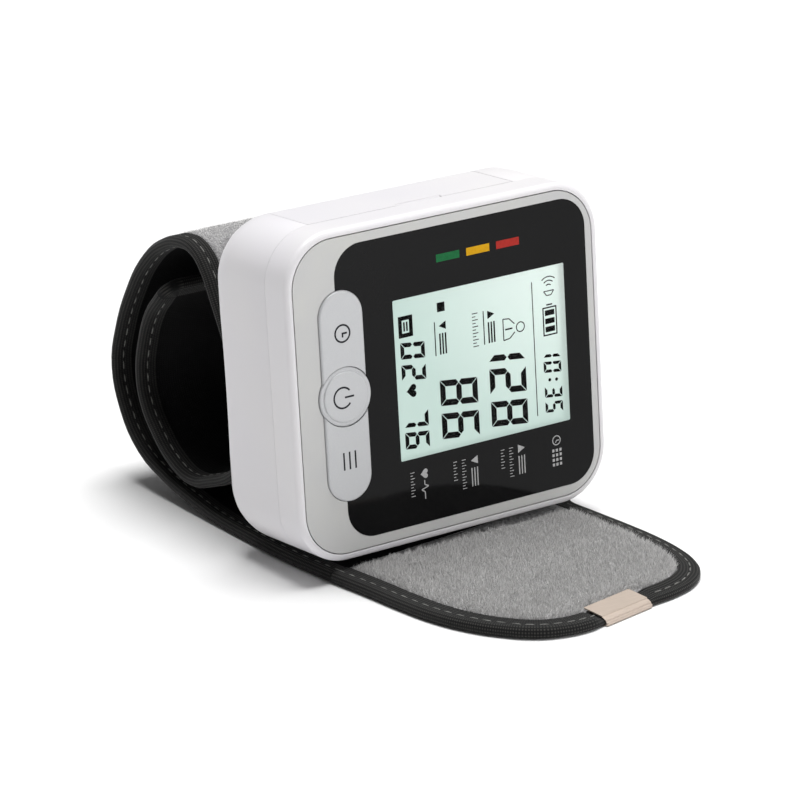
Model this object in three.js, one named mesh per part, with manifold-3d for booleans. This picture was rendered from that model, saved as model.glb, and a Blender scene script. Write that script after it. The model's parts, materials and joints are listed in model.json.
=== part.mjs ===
// Wrist blood pressure monitor: a display case whose concave back carries a padded cuff.
// The cuff is one strip. Its free tail lies in front of the case, runs under it, loops up behind it,
// comes down the case's back as an air cushion and ends as a flap inside the loop.
// Millimetres, +Z up, +Y from the display towards the loop.
// The case has its own frame: x to the right, y into the case, z up the display, and its origin
// in the middle of the display face.

import * as THREE from 'three';
import { mergeVertices } from 'three/addons/utils/BufferGeometryUtils.js';
import Module from 'manifold-3d';

const wasm = await Module();
wasm.setup();

// Case
const CASE_WIDTH = 83.6;
const CASE_HEIGHT = 74.3;
const CASE_DEPTH = 30;
const CASE_CORNER = 12.2;
const CASE_WALL = 1.8;
const CASE_LEAN = THREE.MathUtils.degToRad(4);
const FRONT_ROUND = 1.3;
const BACK_ROUND = 7;
const SIDE_ROUND = 4;
const BACK_HOLLOW = 3;
const BACK_HOLLOW_HALF = 28;
const PARTING_DEPTH = 8.1;
const TONGUE_REACH = 1.6;
const TONGUE_WALL = 0.9;
const FRONT_WALL = 1.5;
const GAP = 0.3;
const OVERCUT = 1;

// Silver plate, black panel and clear window; insets run from the case's outer edges
const BEZEL_MARGIN = 1.8;
const BEZEL_THICK = 1.2;
const PANEL_LEFT_INSET = 13.4;
const PANEL_RIGHT_INSET = 3.6;
const PANEL_TOP_INSET = 4.45;
const PANEL_LOW_INSET = 4.15;
const PANEL_CORNER = 7;
const PANEL_GAP = 0.15;
const WINDOW_LEFT_INSET = 27.3;
const WINDOW_RIGHT_INSET = 9.9;
const WINDOW_TOP_INSET = 18.5;
const WINDOW_LOW_INSET = 19.3;
const WINDOW_CORNER = 0.8;

// Keys and their switches
const KEY_COLUMN_INSET = 13.5;
const KEY_END_INSET = 13.5;
const KEY_PILL_WIDTH = 11.3;
const POWER_KEY_DIAMETER = 13.4;
const KEY_PROUD = 0.6;
const KEY_EDGE = 0.35;
const KEY_FLANGE = 0.8;
const KEY_TRAVEL = 0.5;
const SWITCH_SIZE = 6;
const SWITCH_HEIGHT = 3.2;
const SWITCH_PLUNGER_DIAMETER = 3.2;
const SWITCH_PLUNGER_LENGTH = 2;

// Display stack and circuit board
const LCD_BORDER = 2;
const LCD_PANE = 1.1;
const LCD_CONTACT_LEDGE = 3;
const BACKLIGHT_THICK = 2;
const HOLDER_WALL = 1.2;
const HOLDER_FLOOR = 0.8;
const CONTACT_STRIP_WIDTH = 1.8;
const CONTACT_STRIP_INSET = 1.2;
const BOARD_FRONT = 8.6;
const BOARD_THICK = 1.2;
const BOARD_SIDE_ROOM = 1.8;
const BOARD_LOW_ROOM = 0.65;
const BOARD_TOP_ROOM = 3.55;
const BOARD_POST_RADIUS = 2.5;
const BOARD_POST_RISE = 5;
const BOARD_POST_LEFT_INSET = 22.3;
const BOARD_POST_RIGHT_INSET = 15.8;
const CHIP_SIZE = 12;
const CHIP_THICK = 1.4;
const CHIP_SIDE_ROOM = 14;
const CHIP_TOP_ROOM = 3;

// Screws
const CASE_SCREW_SIDE_INSET = 8.2;
const CASE_SCREW_END_INSET = 11.35;
const CASE_SCREW_SEAT = 20;
const CASE_SCREW_LENGTH = 15.5;
const FRONT_BOSS_RADIUS = 2.5;
const REAR_BOSS_RADIUS = 3.6;
const SCREW_HEAD_RADIUS = 2.3;
const SCREW_HEAD_HEIGHT = 1.5;
const SCREW_SHANK_RADIUS = 1;
const BOARD_SCREW_LENGTH = 5;

// Battery box, cells and contacts
const CELL_DIAMETER = 10.5;
const CELL_LENGTH = 44.5;
const CELL_NUB_RADIUS = 1.9;
const CELL_NUB_LENGTH = 1;
const CELL_ROOF_ROOM = 1.1;
const BOX_X = -2.35;
const BOX_WALL = 1.2;
const DOOR_OVERLAP = 2;
const DOOR_THICK = 1.5;
const DOOR_BACK = 25.5;
const SCOOP_WIDTH = 11.9;
const SCOOP_RADIUS = 4;
const SCOOP_DEPTH = 0.6;
const CONTACT_THICK = 0.4;
const CONTACT_SIZE = 7.6;
const SPRING_LENGTH = 4.2;
const SPRING_WIRE = 0.6;
const SPRING_TURNS = 3.5;
const SPRING_WIDE_RADIUS = 3.5;
const SPRING_NARROW_RADIUS = 1.8;

// Air pump, valve, sensor, speaker and hose
const PUMP_Y = 18;
const PUMP_Z = -8;
const MOTOR_RADIUS = 7.5;
const MOTOR_FLATS = 12;
const MOTOR_LEFT = -32;
const MOTOR_LENGTH = 22;
const MOTOR_BORE_DEPTH = 6;
const PUMP_SHAFT_RADIUS = 0.75;
const ECCENTRIC_RADIUS = 3;
const ECCENTRIC_OFFSET = 1.2;
const ECCENTRIC_LENGTH = 5;
const PUMP_HEAD_RADIUS = 7.2;
const PUMP_HEAD_LENGTH = 16;
const PUMP_CHAMBER_RADIUS = 5;
const PUMP_CHAMBER_LENGTH = 8.5;
const CRADLE_THICK = 1.6;
const NOZZLE_RADIUS = 1.9;
const NOZZLE_LENGTH = 3.5;
const NOZZLE_BORE = 0.9;
const HOSE_RADIUS = 3.2;
const TEE_X = 14;
const VALVE_ROOM = 2.5;
const VALVE_SIZE = 11;
const VALVE_HEIGHT = 15;
const VALVE_DROP = 8;
const VALVE_PLUNGER_RADIUS = 2;
const VALVE_PLUNGER_LENGTH = 8;
const VALVE_TRAVEL = 0.8;
const SENSOR_SIZE = 9;
const SENSOR_HEIGHT = 3.2;
const SPEAKER_RADIUS = 9.5;
const SPEAKER_HEIGHT = 4.2;
const SPEAKER_X = 24;
const SPEAKER_ROOM = 4.05;
const SPEAKER_RIB = 1.2;

// Cuff strip, from its outer face inwards
const STRIP_WIDTH = 71.5;
const LAYER_GAP = 0.15;
const BINDING_TAPE = 0.4;
const BINDING_LEG = 4.5;
const OUTER_FABRIC = 0.9;
const LINING = 0.6;
const PILE_HEIGHT = 0.95;
const BLADDER_INSET = 9.5;
const BLADDER_AT_BACK = 6;
const BLADDER_IN_FLAP = 2.6;
const BLADDER_EDGE = 1;
const CURLER_THICK = 0.6;
const CURLER_INSET = 6.75;
const ARC_PLATE_THICK = 1.6;
const ARC_PLATE_HALF_HEIGHT = 22;
const ARC_PLATE_INSET = 2.75;
const FLAP_END = 5;
const NIPPLE_HOLE_GAP = 0.4;
const LOOP_REACH = 55.6;
const LOOP_RISE = 25.7;

// Free tail
const FOLD_Y = -8;
const FOLD_TURN = 22;
const TAIL_LENGTH = 49.4;
const TAIL_CORNER = 28;
const TAIL_SKEW = THREE.MathUtils.degToRad(6);
const CLIP_WIDTH = 13;
const CLIP_REACH = 7.5;
const CLIP_SHEET = 0.5;

// Facets
const ROUND_STEPS = 4;
const CORNER_STEPS = 5;
const SMALL_CORNER = 1;
const HOLLOW_SIDES = 120;
const ROD_SIDES = 12;
const WIDE_ROD_SIDES = 24;
const SCREW_SIDES = 8;
const SHEET_STEPS = 8;
const COIL_STEPS = 8;
const COIL_SIDES = 5;

const WHITE_ABS = { color: 0xf3f2f5, roughness: 0.25 };
const SILVER_PAINT = { color: 0xb9bcc0, roughness: 0.4, metalness: 0.5 };
const BLACK_ACRYLIC = { color: 0x0b0b0d, roughness: 0.06 };
const CLEAR_ACRYLIC = { color: 0xf2f6f4, roughness: 0.04, transparent: true, opacity: 0.3 };
const LCD_GLASS = { color: 0xcfdcd3, roughness: 0.2 };
const MILKY_KEY = { color: 0xe6e9eb, roughness: 0.4 };
const WHITE_HOLDER = { color: 0xe9e9e4, roughness: 0.6 };
const BLACK_PLASTIC = { color: 0x1c1c1e, roughness: 0.5 };
const BOARD_GREEN = { color: 0x1f5a36, roughness: 0.5 };
const STEEL = { color: 0xb4b6b8, roughness: 0.3, metalness: 1 };
const BRIGHT_METAL = { color: 0xcdbfae, roughness: 0.25, metalness: 1 };
const CELL_WRAP = { color: 0x3b4a5a, roughness: 0.4 };
const SILICONE = { color: 0xd8d6d0, roughness: 0.6 };
const BLACK_NYLON = { color: 0x161618, roughness: 0.9 };
const CHARCOAL_TAPE = { color: 0x2c2c2e, roughness: 0.9 };
const GREY_PILE = { color: 0xa4a4a7, roughness: 1 };

// Closed solids from three.js geometry

// Merges a geometry's shared corners, turns its faces outwards and makes it a solid.
function closed(geometry) {
  const bare = new THREE.BufferGeometry();
  bare.setAttribute('position', geometry.getAttribute('position'));
  bare.setIndex(geometry.index);
  const merged = mergeVertices(bare, 1e-4);
  const corners = merged.getAttribute('position');
  const [a, b, c] = [new THREE.Vector3(), new THREE.Vector3(), new THREE.Vector3()];
  const triangles = [];
  let volume = 0;
  for (let i = 0; i < merged.index.count; i += 3) {
    const [p, q, r] = [0, 1, 2].map((k) => merged.index.getX(i + k));
    if (p === q || q === r || r === p) continue;
    triangles.push([p, q, r]);
    a.fromBufferAttribute(corners, p);
    b.fromBufferAttribute(corners, q);
    c.fromBufferAttribute(corners, r);
    volume += a.dot(b.cross(c));
  }
  const facing = volume < 0 ? triangles.map(([p, q, r]) => [p, r, q]) : triangles;
  const mesh = new wasm.Mesh({
    numProp: 3,
    vertProperties: new Float32Array(corners.array),
    triVerts: new Uint32Array(facing.flat()),
  });
  return new wasm.Manifold(mesh);
}

// One named sub-part.
function piece(name, solid, finish) {
  const mesh = solid.getMesh();
  const geometry = new THREE.BufferGeometry();
  geometry.setAttribute('position', new THREE.BufferAttribute(new Float32Array(mesh.vertProperties), 3));
  geometry.setIndex(new THREE.BufferAttribute(new Uint32Array(mesh.triVerts), 1));
  geometry.computeVertexNormals();
  const part = new THREE.Mesh(geometry, new THREE.MeshStandardMaterial(finish));
  part.name = name;
  return part;
}

// A rectangle with round corners, or with small ones cut off straight.
function roundedRect(width, height, radius, x = 0, z = 0) {
  const [w, h] = [width / 2, height / 2];
  const shape = new THREE.Shape();
  if (radius < SMALL_CORNER) {
    return shape.setFromPoints([
      [w, h - radius], [w - radius, h], [radius - w, h], [-w, h - radius],
      [-w, radius - h], [radius - w, -h], [w - radius, -h], [w, radius - h],
    ].map(([across, up]) => new THREE.Vector2(x + across, z + up)));
  }
  shape.moveTo(x + w, z - h + radius);
  shape.absarc(x + w - radius, z + h - radius, radius, 0, Math.PI / 2);
  shape.absarc(x - w + radius, z + h - radius, radius, Math.PI / 2, Math.PI);
  shape.absarc(x - w + radius, z - h + radius, radius, Math.PI, 1.5 * Math.PI);
  shape.absarc(x + w - radius, z - h + radius, radius, 1.5 * Math.PI, 2 * Math.PI);
  return shape;
}

// A flat piece drawn in x and z, from depth front to depth back, with an optional rounded edge.
function plate(shape, front, back, edge = 0) {
  const geometry = new THREE.ExtrudeGeometry(shape, {
    depth: back - front - 2 * edge,
    curveSegments: CORNER_STEPS,
    bevelEnabled: edge > 0,
    bevelThickness: edge,
    bevelSize: edge,
    bevelOffset: -edge,
    bevelSegments: 2,
  });
  return closed(geometry.rotateX(Math.PI / 2).translate(0, back - edge, 0));
}

function block(left, right, front, back, low, high) {
  const geometry = new THREE.BoxGeometry(right - left, back - front, high - low);
  return closed(geometry.translate((left + right) / 2, (front + back) / 2, (low + high) / 2));
}

function rodAlongX(y, z, radius, left, right, sides = ROD_SIDES) {
  const geometry = new THREE.CylinderGeometry(radius, radius, right - left, sides);
  return closed(geometry.rotateZ(Math.PI / 2).translate((left + right) / 2, y, z));
}

function rodAlongY(x, z, radius, front, back, sides = ROD_SIDES) {
  const geometry = new THREE.CylinderGeometry(radius, radius, back - front, sides);
  return closed(geometry.translate(x, (front + back) / 2, z));
}

function rodAlongZ(x, y, radius, low, high, sides = ROD_SIDES) {
  const geometry = new THREE.CylinderGeometry(radius, radius, high - low, sides);
  return closed(geometry.rotateX(Math.PI / 2).translate(x, y, (low + high) / 2));
}

// A profile of [radius, distance] points turned about an axis along y, moved to x and z.
function turned(profile, x, z, sides = ROD_SIDES) {
  const points = profile.map(([radius, along]) => new THREE.Vector2(radius, along));
  return new THREE.LatheGeometry(points, sides).translate(x, 0, z);
}

// Joins rings of corners, all of one count, and closes both ends with the contour's triangles.
function loft(rings, contour) {
  if (THREE.ShapeUtils.isClockWise(contour)) {
    return loft(rings.map((ring) => ring.toReversed()), contour.toReversed());
  }
  const count = contour.length;
  const positions = rings.flatMap((ring) => ring.flatMap((corner) => corner.toArray()));
  const index = [];
  for (let r = 0; r + 1 < rings.length; r++) {
    for (let i = 0; i < count; i++) {
      const here = r * count + i;
      const next = r * count + ((i + 1) % count);
      index.push(here, next, next + count, here, next + count, here + count);
    }
  }
  const last = (rings.length - 1) * count;
  for (const [p, q, r] of THREE.ShapeUtils.triangulateShape(contour, [])) {
    index.push(p, r, q, last + p, last + q, last + r);
  }
  const geometry = new THREE.BufferGeometry();
  geometry.setAttribute('position', new THREE.Float32BufferAttribute(positions, 3));
  geometry.setIndex(index);
  return closed(geometry);
}

// Corners of a rounded rectangle, counter-clockwise.
function roundedRing(width, height, radius) {
  const ring = [];
  for (let corner = 0; corner < 4; corner++) {
    const x = (corner === 0 || corner === 3 ? 1 : -1) * (width / 2 - radius);
    const z = (corner < 2 ? 1 : -1) * (height / 2 - radius);
    for (let step = 0; step <= CORNER_STEPS; step++) {
      const angle = (corner + step / CORNER_STEPS) * Math.PI / 2;
      ring.push(new THREE.Vector2(x + radius * Math.cos(angle), z + radius * Math.sin(angle)));
    }
  }
  return ring;
}

const ringAtDepth = (ring, y) => ring.map((corner) => new THREE.Vector3(corner.x, y, corner.y));

// How far a rounded edge has drawn in, a given reach past the start of its round.
function roundDraw(reach, radius) {
  return reach <= 0 ? 0 : radius - Math.sqrt(Math.max(0, radius * radius - reach * reach));
}

// Places, depths and radii that several pieces share
const [halfCaseWidth, halfCaseHeight] = [CASE_WIDTH / 2, CASE_HEIGHT / 2];
const seatDepth = BEZEL_THICK + GAP;
const frontWallBack = seatDepth + FRONT_WALL;
const rearFront = PARTING_DEPTH + GAP;
const boardBack = BOARD_FRONT + BOARD_THICK;
const hollowRadius = (BACK_HOLLOW_HALF ** 2 + BACK_HOLLOW ** 2) / (2 * BACK_HOLLOW);
const hollowCentre = CASE_DEPTH - BACK_HOLLOW + hollowRadius;
const cellRadius = CELL_DIAMETER / 2;
const rearCellY = CASE_DEPTH - CASE_WALL - cellRadius - GAP;
const frontCellY = rearCellY - CELL_DIAMETER - GAP;
const doorUnder = halfCaseHeight - DOOR_THICK;
const cellZ = doorUnder - CELL_ROOF_ROOM - cellRadius;
const boxLength = CELL_LENGTH + SPRING_LENGTH + 2 * CONTACT_THICK + 4 * GAP;
const boxLeft = BOX_X - boxLength / 2;
const boxRight = BOX_X + boxLength / 2;
const boxFront = frontCellY - cellRadius - GAP;
const boxFloor = cellZ - cellRadius - GAP;

const doorWidth = boxLength + 2 * DOOR_OVERLAP;
const keyColumnX = KEY_COLUMN_INSET - halfCaseWidth;
const keyPillLength = CASE_HEIGHT - 2 * KEY_END_INSET;
const tongueInset = CASE_WALL + GAP + TONGUE_WALL;
const boardHalf = halfCaseWidth - tongueInset - BOARD_SIDE_ROOM;
const boardLow = tongueInset + BOARD_LOW_ROOM - halfCaseHeight;
const boardTop = boxFloor - BOX_WALL - BOARD_TOP_ROOM;
const boardCorner = CASE_CORNER - tongueInset - BOARD_SIDE_ROOM;
const caseScrewX = halfCaseWidth - CASE_SCREW_SIDE_INSET;
const caseScrewZ = halfCaseHeight - CASE_SCREW_END_INSET;
const valveX = caseScrewX - REAR_BOSS_RADIUS - VALVE_ROOM - VALVE_SIZE / 2;
const speakerZ = boxFloor - BOX_WALL - SPEAKER_ROOM - SPEAKER_RADIUS;

const caseScrews = [1, -1].flatMap((up) => [-1, 1].map((side) => [side * caseScrewX, up * caseScrewZ]));
const boardPostZ = boardLow + BOARD_POST_RISE;
const boardScrews = [
  [BOARD_POST_LEFT_INSET - halfCaseWidth, boardPostZ],
  [halfCaseWidth - BOARD_POST_RIGHT_INSET, boardPostZ],
];

// The case's full outer form, or its inside at a wall's distance, from a front depth to the back.
function caseBody(front, wall) {
  const depth = CASE_DEPTH - wall;
  const backRound = BACK_ROUND - wall;
  const sideRound = Math.max(SIDE_ROUND - wall, GAP);
  const depths = [front];
  for (let step = 0; step <= ROUND_STEPS; step++) {
    depths.push(depth - backRound * (1 - Math.sin((step / ROUND_STEPS) * Math.PI / 2)));
  }
  const outlines = depths.map((y) => {
    const drop = wall + roundDraw(y - depth + backRound, backRound);
    const draw = wall + roundDraw(y - depth + sideRound, sideRound);
    return roundedRing(CASE_WIDTH - 2 * draw, CASE_HEIGHT - 2 * drop, CASE_CORNER - draw);
  });
  const body = loft(outlines.map((outline, i) => ringAtDepth(outline, depths[i])), outlines[0]);
  const hollow = new THREE.CylinderGeometry(
    hollowRadius + wall, hollowRadius + wall, CASE_WIDTH + 2 * CASE_CORNER, HOLLOW_SIDES,
  );
  return body.subtract(closed(hollow.rotateZ(Math.PI / 2).translate(0, hollowCentre, 0)));
}

const caseOutline = (inset) =>
  roundedRect(CASE_WIDTH - 2 * inset, CASE_HEIGHT - 2 * inset, CASE_CORNER - inset);
const panelWidth = CASE_WIDTH - PANEL_LEFT_INSET - PANEL_RIGHT_INSET;
const panelHeight = CASE_HEIGHT - PANEL_TOP_INSET - PANEL_LOW_INSET;
const panelX = (PANEL_LEFT_INSET - PANEL_RIGHT_INSET) / 2;
const panelZ = (PANEL_LOW_INSET - PANEL_TOP_INSET) / 2;
const panelOutline = (grow) =>
  roundedRect(panelWidth + 2 * grow, panelHeight + 2 * grow, PANEL_CORNER + grow, panelX, panelZ);
const windowWidth = CASE_WIDTH - WINDOW_LEFT_INSET - WINDOW_RIGHT_INSET;
const windowHeight = CASE_HEIGHT - WINDOW_TOP_INSET - WINDOW_LOW_INSET;
const windowX = (WINDOW_LEFT_INSET - WINDOW_RIGHT_INSET) / 2;
const windowZ = (WINDOW_LOW_INSET - WINDOW_TOP_INSET) / 2;
const windowOutline = (grow) =>
  roundedRect(windowWidth + 2 * grow, windowHeight + 2 * grow, WINDOW_CORNER, windowX, windowZ);
const pillOutline = (grow) => roundedRect(
  KEY_PILL_WIDTH + 2 * grow, keyPillLength + 2 * grow, KEY_PILL_WIDTH / 2 + grow, keyColumnX,
);
const powerOutline = (grow) => roundedRect(
  POWER_KEY_DIAMETER + 2 * grow, POWER_KEY_DIAMETER + 2 * grow, POWER_KEY_DIAMETER / 2 + grow, keyColumnX,
);

// The keyhole-shaped opening that all three keys share, through a piece that lies in front.
function keyOpening(front, back) {
  return plate(pillOutline(GAP), front, back).add(plate(powerOutline(GAP), front, back));
}

// Front shell: rounded white rim, seat for the silver plate, wall with openings, posts and bosses.
function frontCase() {
  const depths = [];
  const outlines = [];
  for (let step = ROUND_STEPS; step >= 0; step--) {
    const angle = (step / ROUND_STEPS) * Math.PI / 2;
    const inset = FRONT_ROUND * (1 - Math.cos(angle));
    depths.push(FRONT_ROUND * (1 - Math.sin(angle)));
    outlines.push(roundedRing(CASE_WIDTH - 2 * inset, CASE_HEIGHT - 2 * inset, CASE_CORNER - inset));
  }
  depths.push(PARTING_DEPTH);
  outlines.push(roundedRing(CASE_WIDTH, CASE_HEIGHT, CASE_CORNER));
  const rim = loft(outlines.map((outline, i) => ringAtDepth(outline, depths[i])), outlines[0]);
  let shell = rim
    .subtract(plate(caseOutline(BEZEL_MARGIN - PANEL_GAP), -FRONT_ROUND, seatDepth))
    .subtract(plate(caseOutline(CASE_WALL), frontWallBack, PARTING_DEPTH + OVERCUT));
  for (const [x, z] of caseScrews) {
    shell = shell.add(rodAlongY(x, z, FRONT_BOSS_RADIUS, seatDepth + GAP, PARTING_DEPTH));
    shell = shell.subtract(rodAlongY(x, z, SCREW_SHANK_RADIUS + GAP, frontWallBack, PARTING_DEPTH + OVERCUT));
  }
  for (const [x, z] of boardScrews) {
    shell = shell.add(rodAlongY(x, z, BOARD_POST_RADIUS, seatDepth + GAP, BOARD_FRONT - GAP));
    shell = shell.subtract(rodAlongY(x, z, SCREW_SHANK_RADIUS + GAP, frontWallBack, BOARD_FRONT));
  }
  return shell
    .subtract(plate(windowOutline(LCD_BORDER + GAP), 0, frontWallBack + GAP))
    .subtract(keyOpening(0, frontWallBack + GAP));
}

// A flat ring that follows the case's wall between two insets.
function wallRing(outer, inner, front, back) {
  const hole = plate(caseOutline(inner), front - OVERCUT, back + OVERCUT);
  return plate(caseOutline(outer), front, back).subtract(hole);
}

// Inner lip of the rear shell that reaches into the front shell and keeps the two in line.
function partingTongue() {
  const inset = CASE_WALL + GAP;
  const lip = wallRing(inset, inset + TONGUE_WALL, PARTING_DEPTH - TONGUE_REACH, rearFront + TONGUE_WALL);
  const root = wallRing(CASE_WALL - GAP, inset + TONGUE_WALL, rearFront, rearFront + TONGUE_WALL);
  return lip.add(root);
}

// Cradle ribs, shelf and ring that carry the pump, the valve and the speaker on the back wall.
function rearRibs() {
  const motor = rodAlongX(PUMP_Y, PUMP_Z, MOTOR_RADIUS + GAP, -CASE_WIDTH, CASE_WIDTH, WIDE_ROD_SIDES);
  const trimmed = motor.intersect(
    block(-CASE_WIDTH, CASE_WIDTH, 0, PUMP_Y + MOTOR_FLATS / 2 + GAP, -CASE_HEIGHT, CASE_HEIGHT),
  );
  const half = MOTOR_RADIUS + 2 * CRADLE_THICK;
  let ribs = block(
    valveX - VALVE_SIZE / 3, valveX + VALVE_SIZE / 3, PUMP_Y + VALVE_SIZE / 2 + GAP, CASE_DEPTH,
    PUMP_Z - VALVE_DROP - VALVE_HEIGHT, PUMP_Z - VALVE_DROP,
  );
  for (const share of [0.25, 0.75]) {
    const x = MOTOR_LEFT + share * MOTOR_LENGTH;
    const rib = block(
      x - CRADLE_THICK / 2, x + CRADLE_THICK / 2, PUMP_Y, CASE_DEPTH, PUMP_Z - half, PUMP_Z + half,
    );
    ribs = ribs.add(rib.subtract(trimmed));
  }
  const ring = rodAlongY(
    SPEAKER_X, speakerZ, SPEAKER_RADIUS + GAP + SPEAKER_RIB, speakerBack - SPEAKER_HEIGHT / 2,
    CASE_DEPTH, WIDE_ROD_SIDES,
  );
  const bore = rodAlongY(SPEAKER_X, speakerZ, SPEAKER_RADIUS + GAP, 0, CASE_DEPTH, WIDE_ROD_SIDES);
  return ribs.add(ring.subtract(bore));
}

const hollowDepthAt = (z) => hollowCentre - Math.sqrt(hollowRadius ** 2 - z ** 2);
const speakerBack = hollowDepthAt(0) - CASE_WALL - GAP;

// Rear shell: concave back, battery box open under the door, screw tubes and ribs.
function rearCase() {
  const inside = caseBody(0, CASE_WALL);
  const hidden = caseBody(0, CASE_WALL - GAP);
  const boxBlock = block(
    boxLeft - BOX_WALL, boxRight + BOX_WALL, boxFront - BOX_WALL, CASE_DEPTH,
    boxFloor - BOX_WALL, halfCaseHeight,
  );
  const frontRoof = block(
    -CASE_WIDTH, CASE_WIDTH, 0, rearFront, halfCaseHeight - CASE_WALL - GAP, CASE_HEIGHT,
  );
  let shell = caseBody(rearFront, 0).subtract(inside.subtract(block(
    -CASE_WIDTH, CASE_WIDTH, -OVERCUT, rearFront - OVERCUT, -CASE_HEIGHT, CASE_HEIGHT,
  )));
  shell = shell.add(partingTongue());
  for (const [x, z] of caseScrews) {
    const tube = rodAlongY(x, z, REAR_BOSS_RADIUS, rearFront, CASE_DEPTH);
    shell = shell.add(tube.intersect(hidden));
  }
  shell = shell.add(rearRibs().intersect(hidden)).add(boxBlock.intersect(hidden).subtract(frontRoof));
  for (const [x, z] of caseScrews) {
    shell = shell.subtract(rodAlongY(x, z, SCREW_SHANK_RADIUS + GAP, 0, CASE_DEPTH));
    shell = shell.subtract(rodAlongY(x, z, SCREW_HEAD_RADIUS + GAP, CASE_SCREW_SEAT, CASE_DEPTH + OVERCUT));
  }
  const cavity = block(boxLeft, boxRight, boxFront, CASE_DEPTH, boxFloor, CASE_HEIGHT);
  const doorway = block(
    BOX_X - doorWidth / 2 - GAP, BOX_X + doorWidth / 2 + GAP, 0, DOOR_BACK + GAP,
    doorUnder - GAP, CASE_HEIGHT,
  );
  const nippleHole = rodAlongY(TEE_X, PUMP_Z, NOZZLE_RADIUS + GAP, 0, CASE_DEPTH + OVERCUT);
  return shell.subtract(cavity.intersect(inside)).subtract(doorway).subtract(nippleHole);
}

// Battery door: a slice of the case's top with a finger scoop at its front edge.
function batteryDoor() {
  const slice = block(
    BOX_X - doorWidth / 2, BOX_X + doorWidth / 2, rearFront + GAP, DOOR_BACK, doorUnder, CASE_HEIGHT,
  );
  const scoop = rodAlongX(
    rearFront + GAP, halfCaseHeight + SCOOP_RADIUS - SCOOP_DEPTH, SCOOP_RADIUS,
    BOX_X - SCOOP_WIDTH / 2, BOX_X + SCOOP_WIDTH / 2, WIDE_ROD_SIDES,
  );
  return caseBody(rearFront, 0).intersect(slice).subtract(scoop);
}

function bezelPlate() {
  return plate(caseOutline(BEZEL_MARGIN), 0, BEZEL_THICK)
    .subtract(plate(panelOutline(PANEL_GAP), -OVERCUT, BEZEL_THICK + OVERCUT))
    .subtract(keyOpening(-OVERCUT, BEZEL_THICK + OVERCUT));
}

function displayPanel() {
  return plate(panelOutline(0), 0, BEZEL_THICK)
    .subtract(plate(windowOutline(PANEL_GAP), -OVERCUT, BEZEL_THICK + OVERCUT))
    .subtract(keyOpening(-OVERCUT, BEZEL_THICK + OVERCUT));
}

// A key cap with the flange that keeps it behind the front wall.
function keyCap(which) {
  const flangeFront = frontWallBack + GAP;
  const flangeBack = flangeFront + KEY_FLANGE;
  if (which === 0) {
    return plate(powerOutline(0), -KEY_PROUD, flangeFront + KEY_EDGE, KEY_EDGE)
      .add(plate(powerOutline(KEY_FLANGE), flangeFront, flangeBack));
  }
  const edge = which * keyPillLength;
  const half = block(
    keyColumnX - KEY_PILL_WIDTH, keyColumnX + KEY_PILL_WIDTH, -CASE_DEPTH, CASE_DEPTH,
    Math.min(0, edge), Math.max(0, edge),
  );
  const cap = plate(pillOutline(0), -KEY_PROUD, flangeFront + KEY_EDGE, KEY_EDGE)
    .subtract(plate(powerOutline(GAP), -CASE_DEPTH, CASE_DEPTH));
  return cap.add(plate(pillOutline(KEY_FLANGE), flangeFront, flangeBack))
    .subtract(plate(powerOutline(KEY_FLANGE + GAP), flangeFront - KEY_TRAVEL - GAP, CASE_DEPTH))
    .intersect(half);
}

const switchFront = BOARD_FRONT - GAP - SWITCH_HEIGHT;
const switchTop = frontWallBack + KEY_FLANGE + 2 * GAP;

function switchBody(z) {
  const half = SWITCH_SIZE / 2;
  const radius = SWITCH_PLUNGER_DIAMETER / 2 + GAP;
  const well = switchTop + SWITCH_PLUNGER_LENGTH + KEY_TRAVEL + GAP;
  return block(
    keyColumnX - half, keyColumnX + half, switchFront, BOARD_FRONT - GAP, z - half, z + half,
  ).subtract(rodAlongY(keyColumnX, z, radius, switchFront - OVERCUT, well));
}

function switchPlunger(z) {
  return rodAlongY(
    keyColumnX, z, SWITCH_PLUNGER_DIAMETER / 2, switchTop, switchTop + SWITCH_PLUNGER_LENGTH,
  );
}

// Display stack: two glass panes, a light guide and a frame that stands on the board
const lcdFront = BEZEL_THICK + GAP;
const lcdBack = lcdFront + 2 * LCD_PANE;
const backlightFront = lcdBack + GAP;
const holderFloor = backlightFront + BACKLIGHT_THICK + GAP;
const lcdLow = windowZ - windowHeight / 2 - LCD_BORDER;
const lcdRearHeight = windowHeight + 2 * LCD_BORDER - LCD_CONTACT_LEDGE;
const lcdRearZ = windowZ + LCD_CONTACT_LEDGE / 2;

function lcdPanel() {
  const rear = roundedRect(windowWidth + 2 * LCD_BORDER, lcdRearHeight, WINDOW_CORNER, windowX, lcdRearZ);
  return plate(windowOutline(LCD_BORDER), lcdFront, lcdFront + LCD_PANE)
    .add(plate(rear, lcdFront, lcdBack));
}

function lcdBacklight() {
  const guide = roundedRect(
    windowWidth + 2 * LCD_BORDER, lcdRearHeight, WINDOW_CORNER, windowX, lcdRearZ,
  );
  return plate(guide, backlightFront, backlightFront + BACKLIGHT_THICK);
}

function contactStrip(grow) {
  const width = CONTACT_STRIP_WIDTH + 2 * grow;
  const length = windowWidth - 2 * CONTACT_STRIP_INSET + 2 * grow;
  const z = lcdLow + LCD_CONTACT_LEDGE / 2 - GAP;
  return block(
    windowX - length / 2, windowX + length / 2, lcdFront + LCD_PANE + GAP, BOARD_FRONT - GAP,
    z - width / 2, z + width / 2,
  );
}

function lcdHolder() {
  const frame = plate(windowOutline(LCD_BORDER + GAP + HOLDER_WALL), frontWallBack + GAP, BOARD_FRONT - GAP);
  return frame
    .subtract(plate(windowOutline(LCD_BORDER + GAP), 0, holderFloor))
    .subtract(plate(windowOutline(LCD_BORDER + GAP), holderFloor + HOLDER_FLOOR, BOARD_FRONT))
    .subtract(contactStrip(GAP));
}

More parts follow.
